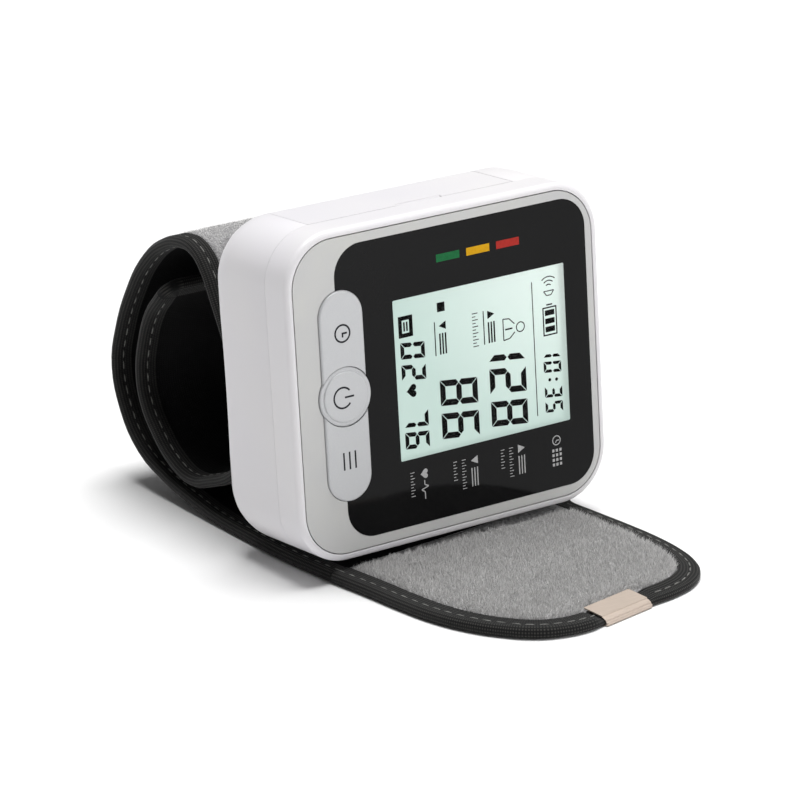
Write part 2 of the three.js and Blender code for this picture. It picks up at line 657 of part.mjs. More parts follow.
function mainBoard() {
  const outline = roundedRect(
    2 * boardHalf, boardTop - boardLow, boardCorner, 0, (boardTop + boardLow) / 2,
  );
  let board = plate(outline, BOARD_FRONT, boardBack);
  for (const [x, z] of caseScrews) {
    board = board.subtract(rodAlongY(x, z, REAR_BOSS_RADIUS + GAP, 0, CASE_DEPTH));
  }
  for (const [x, z] of boardScrews) {
    board = board.subtract(rodAlongY(x, z, SCREW_SHANK_RADIUS + GAP, 0, CASE_DEPTH));
  }
  return board;
}

function controllerChip() {
  const left = CHIP_SIDE_ROOM - boardHalf;
  const top = boardTop - CHIP_TOP_ROOM;
  const front = boardBack + GAP;
  return block(left, left + CHIP_SIZE, front, front + CHIP_THICK, top - CHIP_SIZE, top);
}

// A pan-head screw whose head sits on a seat and whose shank points at the display.
function screw(x, z, seat, length) {
  return closed(turned([
    [0, seat - length],
    [SCREW_SHANK_RADIUS / 2, seat - length],
    [SCREW_SHANK_RADIUS, seat - length + SCREW_SHANK_RADIUS],
    [SCREW_SHANK_RADIUS, seat],
    [SCREW_HEAD_RADIUS, seat],
    [SCREW_HEAD_RADIUS, seat + SCREW_HEAD_HEIGHT / 2],
    [SCREW_HEAD_RADIUS / 2, seat + SCREW_HEAD_HEIGHT],
    [0, seat + SCREW_HEAD_HEIGHT],
  ], x, z, SCREW_SIDES));
}

// A dry cell lying along x; way is 1 with its nub to the right and -1 with its nub to the left.
function cell(y, way) {
  const nubEnd = way > 0 ? boxRight - 2 * GAP - CONTACT_THICK : boxLeft + 2 * GAP + CONTACT_THICK;
  const shoulder = nubEnd - way * CELL_NUB_LENGTH;
  const flatEnd = nubEnd - way * CELL_LENGTH;
  const [low, high] = [Math.min(shoulder, flatEnd), Math.max(shoulder, flatEnd)];
  const can = rodAlongX(y, cellZ, cellRadius, low, high, WIDE_ROD_SIDES);
  return can.add(rodAlongX(
    y, cellZ, CELL_NUB_RADIUS, Math.min(nubEnd, shoulder - way), Math.max(nubEnd, shoulder - way),
  ));
}

// A flat contact at one end of the battery box, behind the cells from one axis to another.
function contactPlate(x, fromCell, toCell) {
  const half = CONTACT_SIZE / 2;
  return block(
    x - CONTACT_THICK / 2, x + CONTACT_THICK / 2, fromCell - half, toCell + half, cellZ - half, cellZ + half,
  );
}

const leftContactX = boxLeft + GAP + CONTACT_THICK / 2;
const rightContactX = boxRight - GAP - CONTACT_THICK / 2;

// Conical coil of a negative contact, wide at its plate and narrow at the cell.
class ConeCoil extends THREE.Curve {
  constructor(start, way, y) {
    super();
    Object.assign(this, { start, way, y });
  }

  getPoint(t, target = new THREE.Vector3()) {
    const angle = 2 * Math.PI * SPRING_TURNS * t;
    const radius = THREE.MathUtils.lerp(SPRING_WIDE_RADIUS, SPRING_NARROW_RADIUS, t);
    const along = SPRING_WIRE / 2 + t * (SPRING_LENGTH - SPRING_WIRE - GAP);
    return target.set(
      this.start + this.way * along, this.y + radius * Math.cos(angle), cellZ + radius * Math.sin(angle),
    );
  }
}

function contactSpring(start, way, y) {
  const wire = new THREE.Shape();
  for (let side = 0; side < COIL_SIDES; side++) {
    const angle = (side / COIL_SIDES) * 2 * Math.PI;
    const [a, b] = [Math.cos(angle), Math.sin(angle)].map((part) => part * SPRING_WIRE / 2);
    if (side === 0) wire.moveTo(a, b);
    else wire.lineTo(a, b);
  }
  const coil = new ConeCoil(start, way, y);
  const steps = Math.round(SPRING_TURNS * COIL_STEPS);
  const points = coil.getPoints(4 * steps);
  let least = Infinity;
  points.forEach((here, i) => points.slice(i + 2 * COIL_STEPS).forEach((there) => {
    least = Math.min(least, here.distanceTo(there));
  }));
  console.log(`contact spring: least gap between turns ${(least - SPRING_WIRE).toFixed(2)} mm`);
  return closed(new THREE.ExtrudeGeometry(wire, { steps, bevelEnabled: false, extrudePath: coil }));
}

// Pump: flat-sided motor can, a shaft with an eccentric, and a head with its outlet
const motorRight = MOTOR_LEFT + MOTOR_LENGTH;
const headLeft = motorRight + GAP;
const headRight = headLeft + PUMP_HEAD_LENGTH;

function pumpMotor() {
  const half = MOTOR_FLATS / 2;
  return rodAlongX(PUMP_Y, PUMP_Z, MOTOR_RADIUS, MOTOR_LEFT, motorRight, WIDE_ROD_SIDES)
    .intersect(block(-CASE_WIDTH, CASE_WIDTH, PUMP_Y - half, PUMP_Y + half, -CASE_HEIGHT, CASE_HEIGHT))
    .subtract(rodAlongX(
      PUMP_Y, PUMP_Z, PUMP_SHAFT_RADIUS + GAP, motorRight - MOTOR_BORE_DEPTH, motorRight + OVERCUT,
    ));
}

function pumpShaft() {
  const left = motorRight - MOTOR_BORE_DEPTH + GAP;
  const cam = headLeft + 2 * GAP;
  return rodAlongX(PUMP_Y, PUMP_Z, PUMP_SHAFT_RADIUS, left, cam + OVERCUT).add(rodAlongX(
    PUMP_Y + ECCENTRIC_OFFSET, PUMP_Z, ECCENTRIC_RADIUS, cam, cam + ECCENTRIC_LENGTH,
  ));
}

function pumpHead() {
  const profile = [
    [PUMP_CHAMBER_RADIUS, headLeft],
    [PUMP_HEAD_RADIUS, headLeft],
    [PUMP_HEAD_RADIUS, headRight - NOZZLE_BORE],
    [PUMP_HEAD_RADIUS - NOZZLE_BORE, headRight],
    [NOZZLE_RADIUS, headRight],
    [NOZZLE_RADIUS, headRight + NOZZLE_LENGTH],
    [NOZZLE_BORE, headRight + NOZZLE_LENGTH],
    [NOZZLE_BORE, headLeft + PUMP_CHAMBER_LENGTH],
    [PUMP_CHAMBER_RADIUS, headLeft + PUMP_CHAMBER_LENGTH],
    [PUMP_CHAMBER_RADIUS, headLeft],
  ];
  const head = turned(profile, 0, 0, WIDE_ROD_SIDES).rotateZ(-Math.PI / 2);
  return closed(head.translate(0, PUMP_Y, PUMP_Z));
}

// Solenoid valve below the hose: its plunger slides up and down in the coil
const valveTop = PUMP_Z - VALVE_DROP;
const valveLow = valveTop - VALVE_HEIGHT;
const plungerLow = valveLow - GAP;

function valveBody() {
  const half = VALVE_SIZE / 2;
  return block(valveX - half, valveX + half, PUMP_Y - half, PUMP_Y + half, valveLow, valveTop)
    .add(rodAlongZ(valveX, PUMP_Y, NOZZLE_RADIUS, valveTop - OVERCUT, valveTop + NOZZLE_LENGTH))
    .subtract(rodAlongZ(valveX, PUMP_Y, NOZZLE_BORE, valveLow, valveTop + NOZZLE_LENGTH + OVERCUT))
    .subtract(rodAlongZ(
      valveX, PUMP_Y, VALVE_PLUNGER_RADIUS + GAP, valveLow - OVERCUT,
      plungerLow + VALVE_PLUNGER_LENGTH + VALVE_TRAVEL + GAP,
    ));
}

function valvePlunger() {
  return rodAlongZ(valveX, PUMP_Y, VALVE_PLUNGER_RADIUS, plungerLow, plungerLow + VALVE_PLUNGER_LENGTH);
}

const sensorFront = boardBack + GAP;
const sensorBack = sensorFront + SENSOR_HEIGHT;
const sensorTip = PUMP_Y - GAP;

function pressureSensor() {
  const half = SENSOR_SIZE / 2;
  return block(TEE_X - half, TEE_X + half, sensorFront, sensorBack, PUMP_Z - half, PUMP_Z + half)
    .add(rodAlongY(TEE_X, PUMP_Z, NOZZLE_RADIUS, sensorBack - OVERCUT, sensorTip - NOZZLE_BORE));
}

// Silicone tee that slips over the pump, valve, sensor and cuff nozzles.
const nippleFront = PUMP_Y + NOZZLE_BORE;
const teeBack = hollowDepthAt(PUMP_Z) - CASE_WALL - GAP;

function airManifold() {
  const socket = NOZZLE_RADIUS + GAP;
  const right = valveX + HOSE_RADIUS;
  const runs = rodAlongX(PUMP_Y, PUMP_Z, HOSE_RADIUS, headRight + GAP, right)
    .add(rodAlongY(TEE_X, PUMP_Z, HOSE_RADIUS, sensorBack + GAP, teeBack))
    .add(rodAlongZ(valveX, PUMP_Y, HOSE_RADIUS, valveTop + GAP, PUMP_Z));
  return runs
    .subtract(rodAlongX(PUMP_Y, PUMP_Z, socket, headRight, headRight + NOZZLE_LENGTH + GAP))
    .subtract(rodAlongX(PUMP_Y, PUMP_Z, NOZZLE_BORE, headRight, valveX))
    .subtract(rodAlongY(TEE_X, PUMP_Z, socket, sensorBack, teeBack + OVERCUT))
    .subtract(rodAlongZ(valveX, PUMP_Y, socket, valveTop, valveTop + NOZZLE_LENGTH + GAP))
    .subtract(rodAlongZ(valveX, PUMP_Y, NOZZLE_BORE, valveTop, PUMP_Z));
}

// Air nipple from the tee through the case's back and the arc plate to the bladder.
const stripTop = BINDING_TAPE + LAYER_GAP;
const fabricTop = stripTop + OUTER_FABRIC;
const liningUnder = fabricTop + LAYER_GAP;
const liningTop = liningUnder + LINING;
const stripThick = liningTop + LAYER_GAP + BINDING_TAPE;
const curlerTop = liningUnder + CURLER_THICK;
const bladderUnder = curlerTop + LAYER_GAP;
const padRadius = hollowRadius - 2 * GAP - ARC_PLATE_THICK;

function cuffNipple() {
  const tip = hollowDepthAt(PUMP_Z) + 2 * GAP + ARC_PLATE_THICK + bladderUnder - GAP;
  return rodAlongY(TEE_X, PUMP_Z, NOZZLE_RADIUS, nippleFront, tip)
    .subtract(rodAlongY(TEE_X, PUMP_Z, NOZZLE_BORE, nippleFront - OVERCUT, tip + OVERCUT));
}

function speaker() {
  const front = speakerBack - SPEAKER_HEIGHT;
  return closed(turned([
    [0, front],
    [SPEAKER_RADIUS * 0.75, front],
    [SPEAKER_RADIUS, front + SPEAKER_HEIGHT / 2],
    [SPEAKER_RADIUS, speakerBack],
    [SPEAKER_RADIUS * 0.85, speakerBack],
    [SPEAKER_RADIUS * 0.3, speakerBack - SPEAKER_HEIGHT / 3],
    [0, speakerBack - SPEAKER_HEIGHT / 4],
  ], SPEAKER_X, speakerZ, WIDE_ROD_SIDES));
}

// Rigid plate that fits the case's hollow back and carries the cuff.
function arcPlate() {
  const outer = hollowRadius - GAP;
  const inner = outer - ARC_PLATE_THICK;
  const half = Math.asin(ARC_PLATE_HALF_HEIGHT / outer);
  const width = STRIP_WIDTH - 2 * ARC_PLATE_INSET;
  const shape = new THREE.Shape();
  shape.absarc(-hollowCentre, 0, outer, -half, half);
  shape.absarc(-hollowCentre, 0, inner, half, -half, true);
  const geometry = new THREE.ExtrudeGeometry(shape, {
    depth: width, curveSegments: SHEET_STEPS, bevelEnabled: false,
  });
  const stand = new THREE.Matrix4().makeBasis(
    new THREE.Vector3(0, -1, 0), new THREE.Vector3(0, 0, 1), new THREE.Vector3(-1, 0, 0),
  );
  return closed(geometry.applyMatrix4(stand).translate(width / 2, 0, 0))
    .subtract(rodAlongY(TEE_X, PUMP_Z, NOZZLE_RADIUS + GAP, 0, 2 * CASE_DEPTH));
}

// The leaning case stands on the strip: its lowest rounded edge clears it by one gap.
const lowestEdge = (BACK_ROUND - halfCaseHeight) * Math.cos(CASE_LEAN)
  - (CASE_DEPTH - BACK_ROUND) * Math.sin(CASE_LEAN) - BACK_ROUND;
const monitorCase = new THREE.Group();
monitorCase.position.z = stripThick + GAP - lowestEdge;
monitorCase.rotation.x = -CASE_LEAN;
monitorCase.updateMatrix();

monitorCase.add(
  piece('front_case', frontCase(), WHITE_ABS),
  piece('rear_case', rearCase(), WHITE_ABS),
  piece('battery_door', batteryDoor(), WHITE_ABS),
  piece('bezel_plate', bezelPlate(), SILVER_PAINT),
  piece('display_panel', displayPanel(), BLACK_ACRYLIC),
  piece('display_lens', plate(windowOutline(0), 0, BEZEL_THICK), CLEAR_ACRYLIC),
  piece('lcd_panel', lcdPanel(), LCD_GLASS),
  piece('lcd_backlight', lcdBacklight(), WHITE_HOLDER),
  piece('lcd_holder', lcdHolder(), WHITE_HOLDER),
  piece('contact_strip', contactStrip(0), BLACK_PLASTIC),
  piece('main_board', mainBoard(), BOARD_GREEN),
  piece('controller_chip', controllerChip(), BLACK_PLASTIC),
  piece('contact_positive', contactPlate(leftContactX, frontCellY, frontCellY), STEEL),
  piece('contact_negative', contactPlate(leftContactX, rearCellY, rearCellY), STEEL),
  piece('contact_bridge', contactPlate(rightContactX, frontCellY, rearCellY), STEEL),
  piece('contact_spring_1', contactSpring(rightContactX - CONTACT_THICK / 2 - GAP, -1, frontCellY), STEEL),
  piece('contact_spring_2', contactSpring(leftContactX + CONTACT_THICK / 2 + GAP, 1, rearCellY), STEEL),
  piece('aaa_cell_1', cell(frontCellY, -1), CELL_WRAP),
  piece('aaa_cell_2', cell(rearCellY, 1), CELL_WRAP),
  piece('pump_motor', pumpMotor(), STEEL),
  piece('pump_shaft', pumpShaft(), STEEL),
  piece('pump_head', pumpHead(), BLACK_PLASTIC),
  piece('valve_body', valveBody(), STEEL),
  piece('valve_plunger', valvePlunger(), STEEL),
  piece('pressure_sensor', pressureSensor(), BLACK_PLASTIC),
  piece('air_manifold', airManifold(), SILICONE),
  piece('cuff_nipple', cuffNipple(), BLACK_PLASTIC),
  piece('speaker', speaker(), BLACK_PLASTIC),
  piece('arc_plate', arcPlate(), BLACK_PLASTIC),
);

const keyCentre = (POWER_KEY_DIAMETER + keyPillLength) / 4;
[['key_set', 1], ['key_power', 0], ['key_memory', -1]].forEach(([name, way], i) => {
  monitorCase.add(
    piece(name, keyCap(way), MILKY_KEY),
    piece(`switch_${i + 1}`, switchBody(way * keyCentre), BLACK_PLASTIC),
    piece(`switch_plunger_${i + 1}`, switchPlunger(way * keyCentre), WHITE_HOLDER),
  );
});
caseScrews.forEach(([x, z], i) => {
  monitorCase.add(piece(`case_screw_${i + 1}`, screw(x, z, CASE_SCREW_SEAT + GAP, CASE_SCREW_LENGTH), STEEL));
});
boardScrews.forEach(([x, z], i) => {
  monitorCase.add(piece(`board_screw_${i + 1}`, screw(x, z, boardBack + GAP, BOARD_SCREW_LENGTH), STEEL));
});

// Route of the strip's outer face, from the fold in front of the case round to the flap's end.
// A place on the loop is a share of its reach behind the cushion and a share of its top's height.
// A place behind the case is a share of the arc plate's half height.
const backPoint = (share) => new THREE.Vector3(
  0,
  hollowCentre - Math.sqrt(padRadius ** 2 - (share * ARC_PLATE_HALF_HEIGHT) ** 2),
  share * ARC_PLATE_HALF_HEIGHT,
).applyMatrix4(monitorCase.matrix);
const backY = backPoint(0).y;
const loopTop = monitorCase.position.z + LOOP_RISE;
const foldX = FOLD_TURN * Math.tan(TAIL_SKEW);
const loopPoint = (reach, height) => new THREE.Vector3(0, backY + reach * LOOP_REACH, height * loopTop);
const onFloor = (share) => new THREE.Vector3(foldX * (1 - share), FOLD_Y + share * FOLD_TURN, 0);
const stripRoute = new THREE.CatmullRomCurve3([
  onFloor(0),
  onFloor(0.5),
  loopPoint(-0.22, 0),
  loopPoint(0.018, 0),
  loopPoint(0.234, 0.003),
  loopPoint(0.45, 0.025),
  loopPoint(0.647, 0.065),
  loopPoint(0.835, 0.151),
  loopPoint(0.951, 0.273),
  loopPoint(1, 0.408),
  loopPoint(0.959, 0.541),
  loopPoint(0.869, 0.687),
  loopPoint(0.746, 0.828),
  loopPoint(0.583, 0.933),
  loopPoint(0.412, 0.985),
  loopPoint(0.29, 1),
  loopPoint(0.189, 0.97),
  loopPoint(0.115, 0.899),
  backPoint(0.55),
  backPoint(0.14),
  backPoint(-0.32),
  backPoint(-0.73),
  loopPoint(0.034, 0.26),
  loopPoint(0.124, 0.19),
  loopPoint(0.268, 0.136),
  loopPoint(0.448, 0.096),
  loopPoint(0.61, 0.13),
  loopPoint(0.736, 0.208),
  loopPoint(0.826, 0.305),
  loopPoint(0.856, 0.415),
  loopPoint(0.829, 0.534),
  loopPoint(0.759, 0.66),
  loopPoint(0.664, 0.746),
], false, 'centripetal');
const routeEnd = stripRoute.points.length - 1;
const FLOOR_RUN = 4;
const PAD_START = 17;
const PAD_FULL = 19;
const PAD_END = 22;
const FLAP_FULL = 25;
const FLAP_TAPER = routeEnd - 2;

// A place on the route: its point, the direction across the strip and the direction inwards.
function station(at) {
  const point = stripRoute.getPoint(Math.min(at / routeEnd, 1));
  const along = stripRoute.getTangent(Math.min(at / routeEnd, 1));
  const across = new THREE.Vector3(1, 0, 0).addScaledVector(along, -along.x).normalize();
  const inward = new THREE.Vector3().crossVectors(across, along);
  return { at, point, along, across, inward };
}

// Places along the strip: at each point of the floor run, and twice as close round the loop.
function stations(from, to) {
  const list = [];
  for (let at = from; at <= to; at += at < FLOOR_RUN ? 1 : 0.5) list.push(station(at));
  return list;
}

function moved(place, distance) {
  return { ...place, point: place.point.clone().addScaledVector(place.along, distance) };
}

// Carries a section of [across, inward] points along the strip.
function sweep(places, section) {
  const rings = places.map((place) => section(place.at).map(([across, inward]) => place.point.clone()
    .addScaledVector(place.across, across)
    .addScaledVector(place.inward, inward)));
  return loft(rings, section(places[0].at).map(([across, inward]) => new THREE.Vector2(across, inward)));
}

const mirrored = (half) => [...half, ...half.toReversed().map(([across, inward]) => [-across, inward])];
const halfWidth = STRIP_WIDTH / 2;
const layerHalf = halfWidth - BINDING_TAPE - LAYER_GAP;
const faceHalf = halfWidth - BINDING_LEG - LAYER_GAP;
const rise = THREE.MathUtils.smoothstep;

// Thickness of the air cushion: full behind the case, thinner in the flap, none in the outer band.
function cushion(at) {
  const back = rise(at, PAD_START, PAD_FULL) * BLADDER_AT_BACK;
  const flap = rise(at, PAD_END, FLAP_FULL) * (BLADDER_AT_BACK - BLADDER_IN_FLAP);
  return back - flap - rise(at, FLAP_TAPER, routeEnd) * BLADDER_IN_FLAP;
}

// Outer fabric: loop-pile cloth, thicker between the edge tapes than under them.
const outerFabricSection = (at) => mirrored([
  [faceHalf - LAYER_GAP, at < routeEnd ? 0 : stripTop],
  [faceHalf, stripTop],
  [layerHalf, stripTop],
  [layerHalf, fabricTop],
]);

// Lining: flat under the edge tapes, lifted over the cushion between them.
function liningSection(at) {
  const fill = cushion(at);
  const lift = fill * (1 + (CURLER_THICK + 2 * LAYER_GAP) / BLADDER_IN_FLAP);
  const top = Math.min(lift, fill + CURLER_THICK + 2 * LAYER_GAP);
  const padHalf = halfWidth - BLADDER_INSET;
  const under = [[padHalf, liningUnder + top], [faceHalf, liningUnder], [layerHalf, liningUnder]];
  const over = [[layerHalf, liningTop], [faceHalf - GAP, liningTop], [padHalf + LINING, liningTop + top]];
  const near = [...under, ...over];
  return [...near, ...near.toReversed().map(([across, inward]) => [-across, inward])];
}

// Edge tape folded round both faces; side is -1 on the left and 1 on the right.
function bindingSection(side) {
  const inner = halfWidth - BINDING_LEG;
  const web = halfWidth - BINDING_TAPE;
  return () => [
    [side * inner, 0],
    [side * halfWidth, 0],
    [side * halfWidth, stripThick],
    [side * inner, stripThick],
    [side * inner, stripThick - BINDING_TAPE],
    [side * web, stripThick - BINDING_TAPE],
    [side * web, BINDING_TAPE],
    [side * inner, BINDING_TAPE],
  ];
}

const flatSection = (half, under, over) => () => [[-half, under], [half, under], [half, over], [-half, over]];
const curlerSection = flatSection(halfWidth - CURLER_INSET, liningUnder, curlerTop);
const hookPatchSection = flatSection(
  faceHalf - GAP, liningTop + LAYER_GAP, liningTop + LAYER_GAP + PILE_HEIGHT,
);
const bladderHalf = halfWidth - BLADDER_INSET - LAYER_GAP;
const bladderSection = (at) => [
  [-bladderHalf, bladderUnder],
  [bladderHalf, bladderUnder],
  [bladderHalf - BLADDER_EDGE, bladderUnder + cushion(at)],
  [BLADDER_EDGE - bladderHalf, bladderUnder + cushion(at)],
];

const wholeRun = stations(0, routeEnd);
const flapTip = moved(wholeRun.at(-1), FLAP_END - BINDING_TAPE - LAYER_GAP);
const layerRun = [...wholeRun, flapTip];
const padRun = stations(PAD_FULL, FLAP_TAPER);

// Hole for the air nipple through the layers that lie between the case and the bladder.
function nippleHole() {
  const geometry = new THREE.CylinderGeometry(
    NOZZLE_RADIUS + NIPPLE_HOLE_GAP, NOZZLE_RADIUS + NIPPLE_HOLE_GAP, 4 * stripThick, ROD_SIDES,
  );
  const front = hollowDepthAt(PUMP_Z) + stripThick;
  return closed(geometry.translate(TEE_X, front, PUMP_Z).applyMatrix4(monitorCase.matrix));
}

// Tape across the flap's free end.
function bindingEnd() {
  const end = wholeRun.at(-1);
  const [near, far] = [LAYER_GAP, FLAP_END];
  const profile = [
    [near, 0],
    [far, 0],
    [far, stripThick],
    [near, stripThick],
    [near, stripThick - BINDING_TAPE],
    [far - BINDING_TAPE, stripThick - BINDING_TAPE],
    [far - BINDING_TAPE, BINDING_TAPE],
    [near, BINDING_TAPE],
  ];
  const rings = [-halfWidth, halfWidth].map((across) => profile.map(([along, inward]) => end.point.clone()
    .addScaledVector(end.across, across)
    .addScaledVector(end.along, along)
    .addScaledVector(end.inward, inward)));
  return loft(rings, profile.map(([along, inward]) => new THREE.Vector2(along, inward)));
}

const cuff = new THREE.Group();
cuff.add(
  piece('cuff_outer_fabric', sweep(layerRun, outerFabricSection).subtract(nippleHole()), GREY_PILE),
  piece('cuff_lining', sweep(layerRun, liningSection), BLACK_NYLON),
  piece('cuff_curler', sweep(padRun, curlerSection).subtract(nippleHole()), WHITE_HOLDER),
  piece('air_bladder', sweep(padRun, bladderSection), SILICONE),
  piece('binding_left', sweep(wholeRun, bindingSection(-1)), CHARCOAL_TAPE),
  piece('binding_right', sweep(wholeRun, bindingSection(1)), CHARCOAL_TAPE),
  piece('binding_end', bindingEnd(), CHARCOAL_TAPE),
  piece('cuff_hook_patch', sweep(stations(0, 1), hookPatchSection), GREY_PILE),
);

// Free tail: a flat strip with a round nose, in its own frame at the fold line
const tailStart = -GAP;

function tailOutline(inset) {
  const half = halfWidth - inset;
  const nose = TAIL_CORNER - inset;
  const end = inset - TAIL_LENGTH;
  const shape = new THREE.Shape();
  shape.moveTo(half, tailStart);
  shape.lineTo(-half, tailStart);
  shape.absarc(-half + nose, end + nose, nose, Math.PI, 1.5 * Math.PI);
  shape.absarc(half - nose, end + nose, nose, 1.5 * Math.PI, 2 * Math.PI);
  return shape;
}

function tailSheet(inset, low, high) {
  const geometry = new THREE.ExtrudeGeometry(tailOutline(inset), {
    depth: high - low, curveSegments: SHEET_STEPS, bevelEnabled: false,
  });
  return closed(geometry.translate(0, 0, low));
}

function clipPocket(low, high) {
  const half = CLIP_WIDTH / 2 + GAP;
  return block(-half, half, -TAIL_LENGTH - OVERCUT, CLIP_REACH + GAP - TAIL_LENGTH, low, high);
}

const underPocket = clipPocket(-OVERCUT, CLIP_SHEET + LAYER_GAP);
const topLeg = stripThick + LAYER_GAP;

function tailOuterFabric() {
  return tailSheet(BINDING_TAPE + LAYER_GAP, stripTop, fabricTop)
    .add(tailSheet(BINDING_LEG + LAYER_GAP, 0, fabricTop))
    .subtract(underPocket);
}

function tailHookPatch() {
  return tailSheet(BINDING_TAPE + LAYER_GAP, liningUnder, liningTop)
    .add(tailSheet(BINDING_LEG + LAYER_GAP, liningUnder, liningTop + LAYER_GAP + PILE_HEIGHT))
    .subtract(clipPocket(stripThick, 2 * stripThick));
}

// Edge tape round the tail's three free sides, folded over its layers.
function tailBinding() {
  const tape = tailSheet(0, 0, stripThick);
  const opening = block(-halfWidth, halfWidth, 2 * tailStart, OVERCUT, -OVERCUT, 2 * stripThick);
  const slot = tailSheet(BINDING_TAPE, BINDING_TAPE, stripThick - BINDING_TAPE);
  const face = tailSheet(BINDING_LEG, -OVERCUT, 2 * stripThick);
  const mouth = opening.intersect(block(
    BINDING_TAPE - halfWidth, halfWidth - BINDING_TAPE, -OVERCUT, OVERCUT,
    BINDING_TAPE, stripThick - BINDING_TAPE,
  ));
  const step = opening.intersect(block(
    BINDING_LEG - halfWidth, halfWidth - BINDING_LEG, -OVERCUT, OVERCUT, -OVERCUT, 2 * stripThick,
  ));
  return tape.subtract(slot).subtract(face).subtract(mouth).subtract(step).subtract(underPocket);
}

// Folded sheet-metal clip over the middle of the tail's end.
function tailClip() {
  const outerEnd = -TAIL_LENGTH - LAYER_GAP - CLIP_SHEET;
  const innerEnd = CLIP_REACH - TAIL_LENGTH;
  const half = CLIP_WIDTH / 2;
  const mouth = block(
    -half - OVERCUT, half + OVERCUT, outerEnd + CLIP_SHEET, innerEnd + OVERCUT, CLIP_SHEET, topLeg,
  );
  return block(-half, half, outerEnd, innerEnd, 0, topLeg + CLIP_SHEET).subtract(mouth);
}

const tail = new THREE.Group();
tail.position.set(foldX, FOLD_Y, 0);
tail.rotation.z = TAIL_SKEW;
tail.add(
  piece('tail_outer_fabric', tailOuterFabric(), GREY_PILE),
  piece('tail_hook_patch', tailHookPatch(), GREY_PILE),
  piece('tail_binding', tailBinding(), CHARCOAL_TAPE),
  piece('tail_clip', tailClip(), BRIGHT_METAL),
);

// The whole monitor, with its origin under the middle of its box.
const monitor = new THREE.Group();
monitor.add(monitorCase, cuff, tail);
monitor.updateMatrixWorld(true);
const reach = new THREE.Box3().setFromObject(monitor, true);
monitor.position.set(-(reach.min.x + reach.max.x) / 2, -(reach.min.y + reach.max.y) / 2, -reach.min.z);

export default monitor;
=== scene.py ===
import json
import math
import random

import bmesh
import bpy
from mathutils import Matrix, Vector


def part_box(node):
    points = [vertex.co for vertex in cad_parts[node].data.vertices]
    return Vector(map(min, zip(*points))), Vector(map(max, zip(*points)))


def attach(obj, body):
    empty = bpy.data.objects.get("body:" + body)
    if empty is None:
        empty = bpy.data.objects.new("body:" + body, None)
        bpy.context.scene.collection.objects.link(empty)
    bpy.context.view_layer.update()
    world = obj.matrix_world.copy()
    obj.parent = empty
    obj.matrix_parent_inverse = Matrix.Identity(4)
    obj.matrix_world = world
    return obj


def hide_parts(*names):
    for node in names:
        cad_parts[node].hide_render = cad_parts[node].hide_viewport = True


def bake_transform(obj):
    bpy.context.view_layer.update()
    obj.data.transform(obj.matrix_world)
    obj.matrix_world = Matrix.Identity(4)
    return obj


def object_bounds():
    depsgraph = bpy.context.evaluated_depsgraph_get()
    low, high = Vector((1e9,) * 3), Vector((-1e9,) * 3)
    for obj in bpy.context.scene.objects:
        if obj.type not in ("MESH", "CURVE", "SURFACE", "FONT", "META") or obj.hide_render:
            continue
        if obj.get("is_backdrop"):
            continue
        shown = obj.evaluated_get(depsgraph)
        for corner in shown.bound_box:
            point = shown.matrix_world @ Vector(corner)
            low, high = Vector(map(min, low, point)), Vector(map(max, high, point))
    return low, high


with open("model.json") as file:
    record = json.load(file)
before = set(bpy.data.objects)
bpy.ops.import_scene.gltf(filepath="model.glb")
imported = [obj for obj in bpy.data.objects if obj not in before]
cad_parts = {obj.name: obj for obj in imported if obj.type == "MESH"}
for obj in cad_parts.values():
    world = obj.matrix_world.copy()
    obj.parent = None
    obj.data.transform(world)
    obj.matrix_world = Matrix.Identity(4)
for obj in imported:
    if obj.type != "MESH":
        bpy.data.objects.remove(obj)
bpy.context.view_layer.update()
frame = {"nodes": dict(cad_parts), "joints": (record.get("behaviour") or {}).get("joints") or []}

# Camera
# A long lens looks down at the monitor from the left of its display,
# as in the photograph, so the upright edges stay almost parallel.
MM = 0.001
CAMERA_PLACE = (-494.11, -711.11, 332.15)
CAMERA_TURN = (70.842, 0.835, -34.826)
SENSOR_WIDTH = 36
LENS_LENGTH = 184.5


def add(name, data):
    """Puts a new object with this data into the scene."""
    made = bpy.data.objects.new(name, data)
    bpy.context.scene.collection.objects.link(made)
    return made


camera_data = bpy.data.cameras.new("camera")
camera_data.sensor_width = SENSOR_WIDTH
camera_data.lens = LENS_LENGTH
camera = add("camera", camera_data)
camera.location = Vector(CAMERA_PLACE) * MM
camera.rotation_euler = [math.radians(turn) for turn in CAMERA_TURN]
bpy.context.scene.camera = camera

# Front shell
# The rim round the display, injection moulded in glossy white ABS. It has a seat for the silver plate,
# a wall with openings for the keys and the glass, and posts that the screws from the back bite into.
CASE_WIDTH = 83.6
CASE_HEIGHT = 74.3
CASE_CORNER = 12.2
CASE_WALL = 1.8
RIM_ROUND = 1.3
PARTING = 8.2
SEAT_INSET = 1.62
SEAT_DEPTH = 1.5
WALL_BACK = 3
OVERLAP = 0.3
LENS_MIDDLE = (8.7, 0.6, 0.4)
WINDOW = (46.4, 36.5)
WINDOW_PLACE = (8.7, 0.4)
GLASS_EDGE = 2.3
GLASS_CORNER = 0.8
KEY_X = -28.3
PILL = (11.3, 47.3)
POWER_KEY = 13.4
KEY_ROOM = 0.3
CASE_SCREWS = [(side * 33.6, up * 25.8) for up in (1, -1) for side in (-1, 1)]
BOARD_POSTS = [(-19.5, -28.5), (26, -28.5)]
BOARD_FRONT = 8.6
POST_RADIUS = 2.5
SCREW_HOLE = 1.3
SHELL_EDGE = 0.12
TOUCHING = 0.001
CASE_WHITE = "#E8E6EA"
CASE_WHITE_WARM = "#ECEAEB"
FLOW_CLOUD = 30
ORANGE_PEEL = 1.1

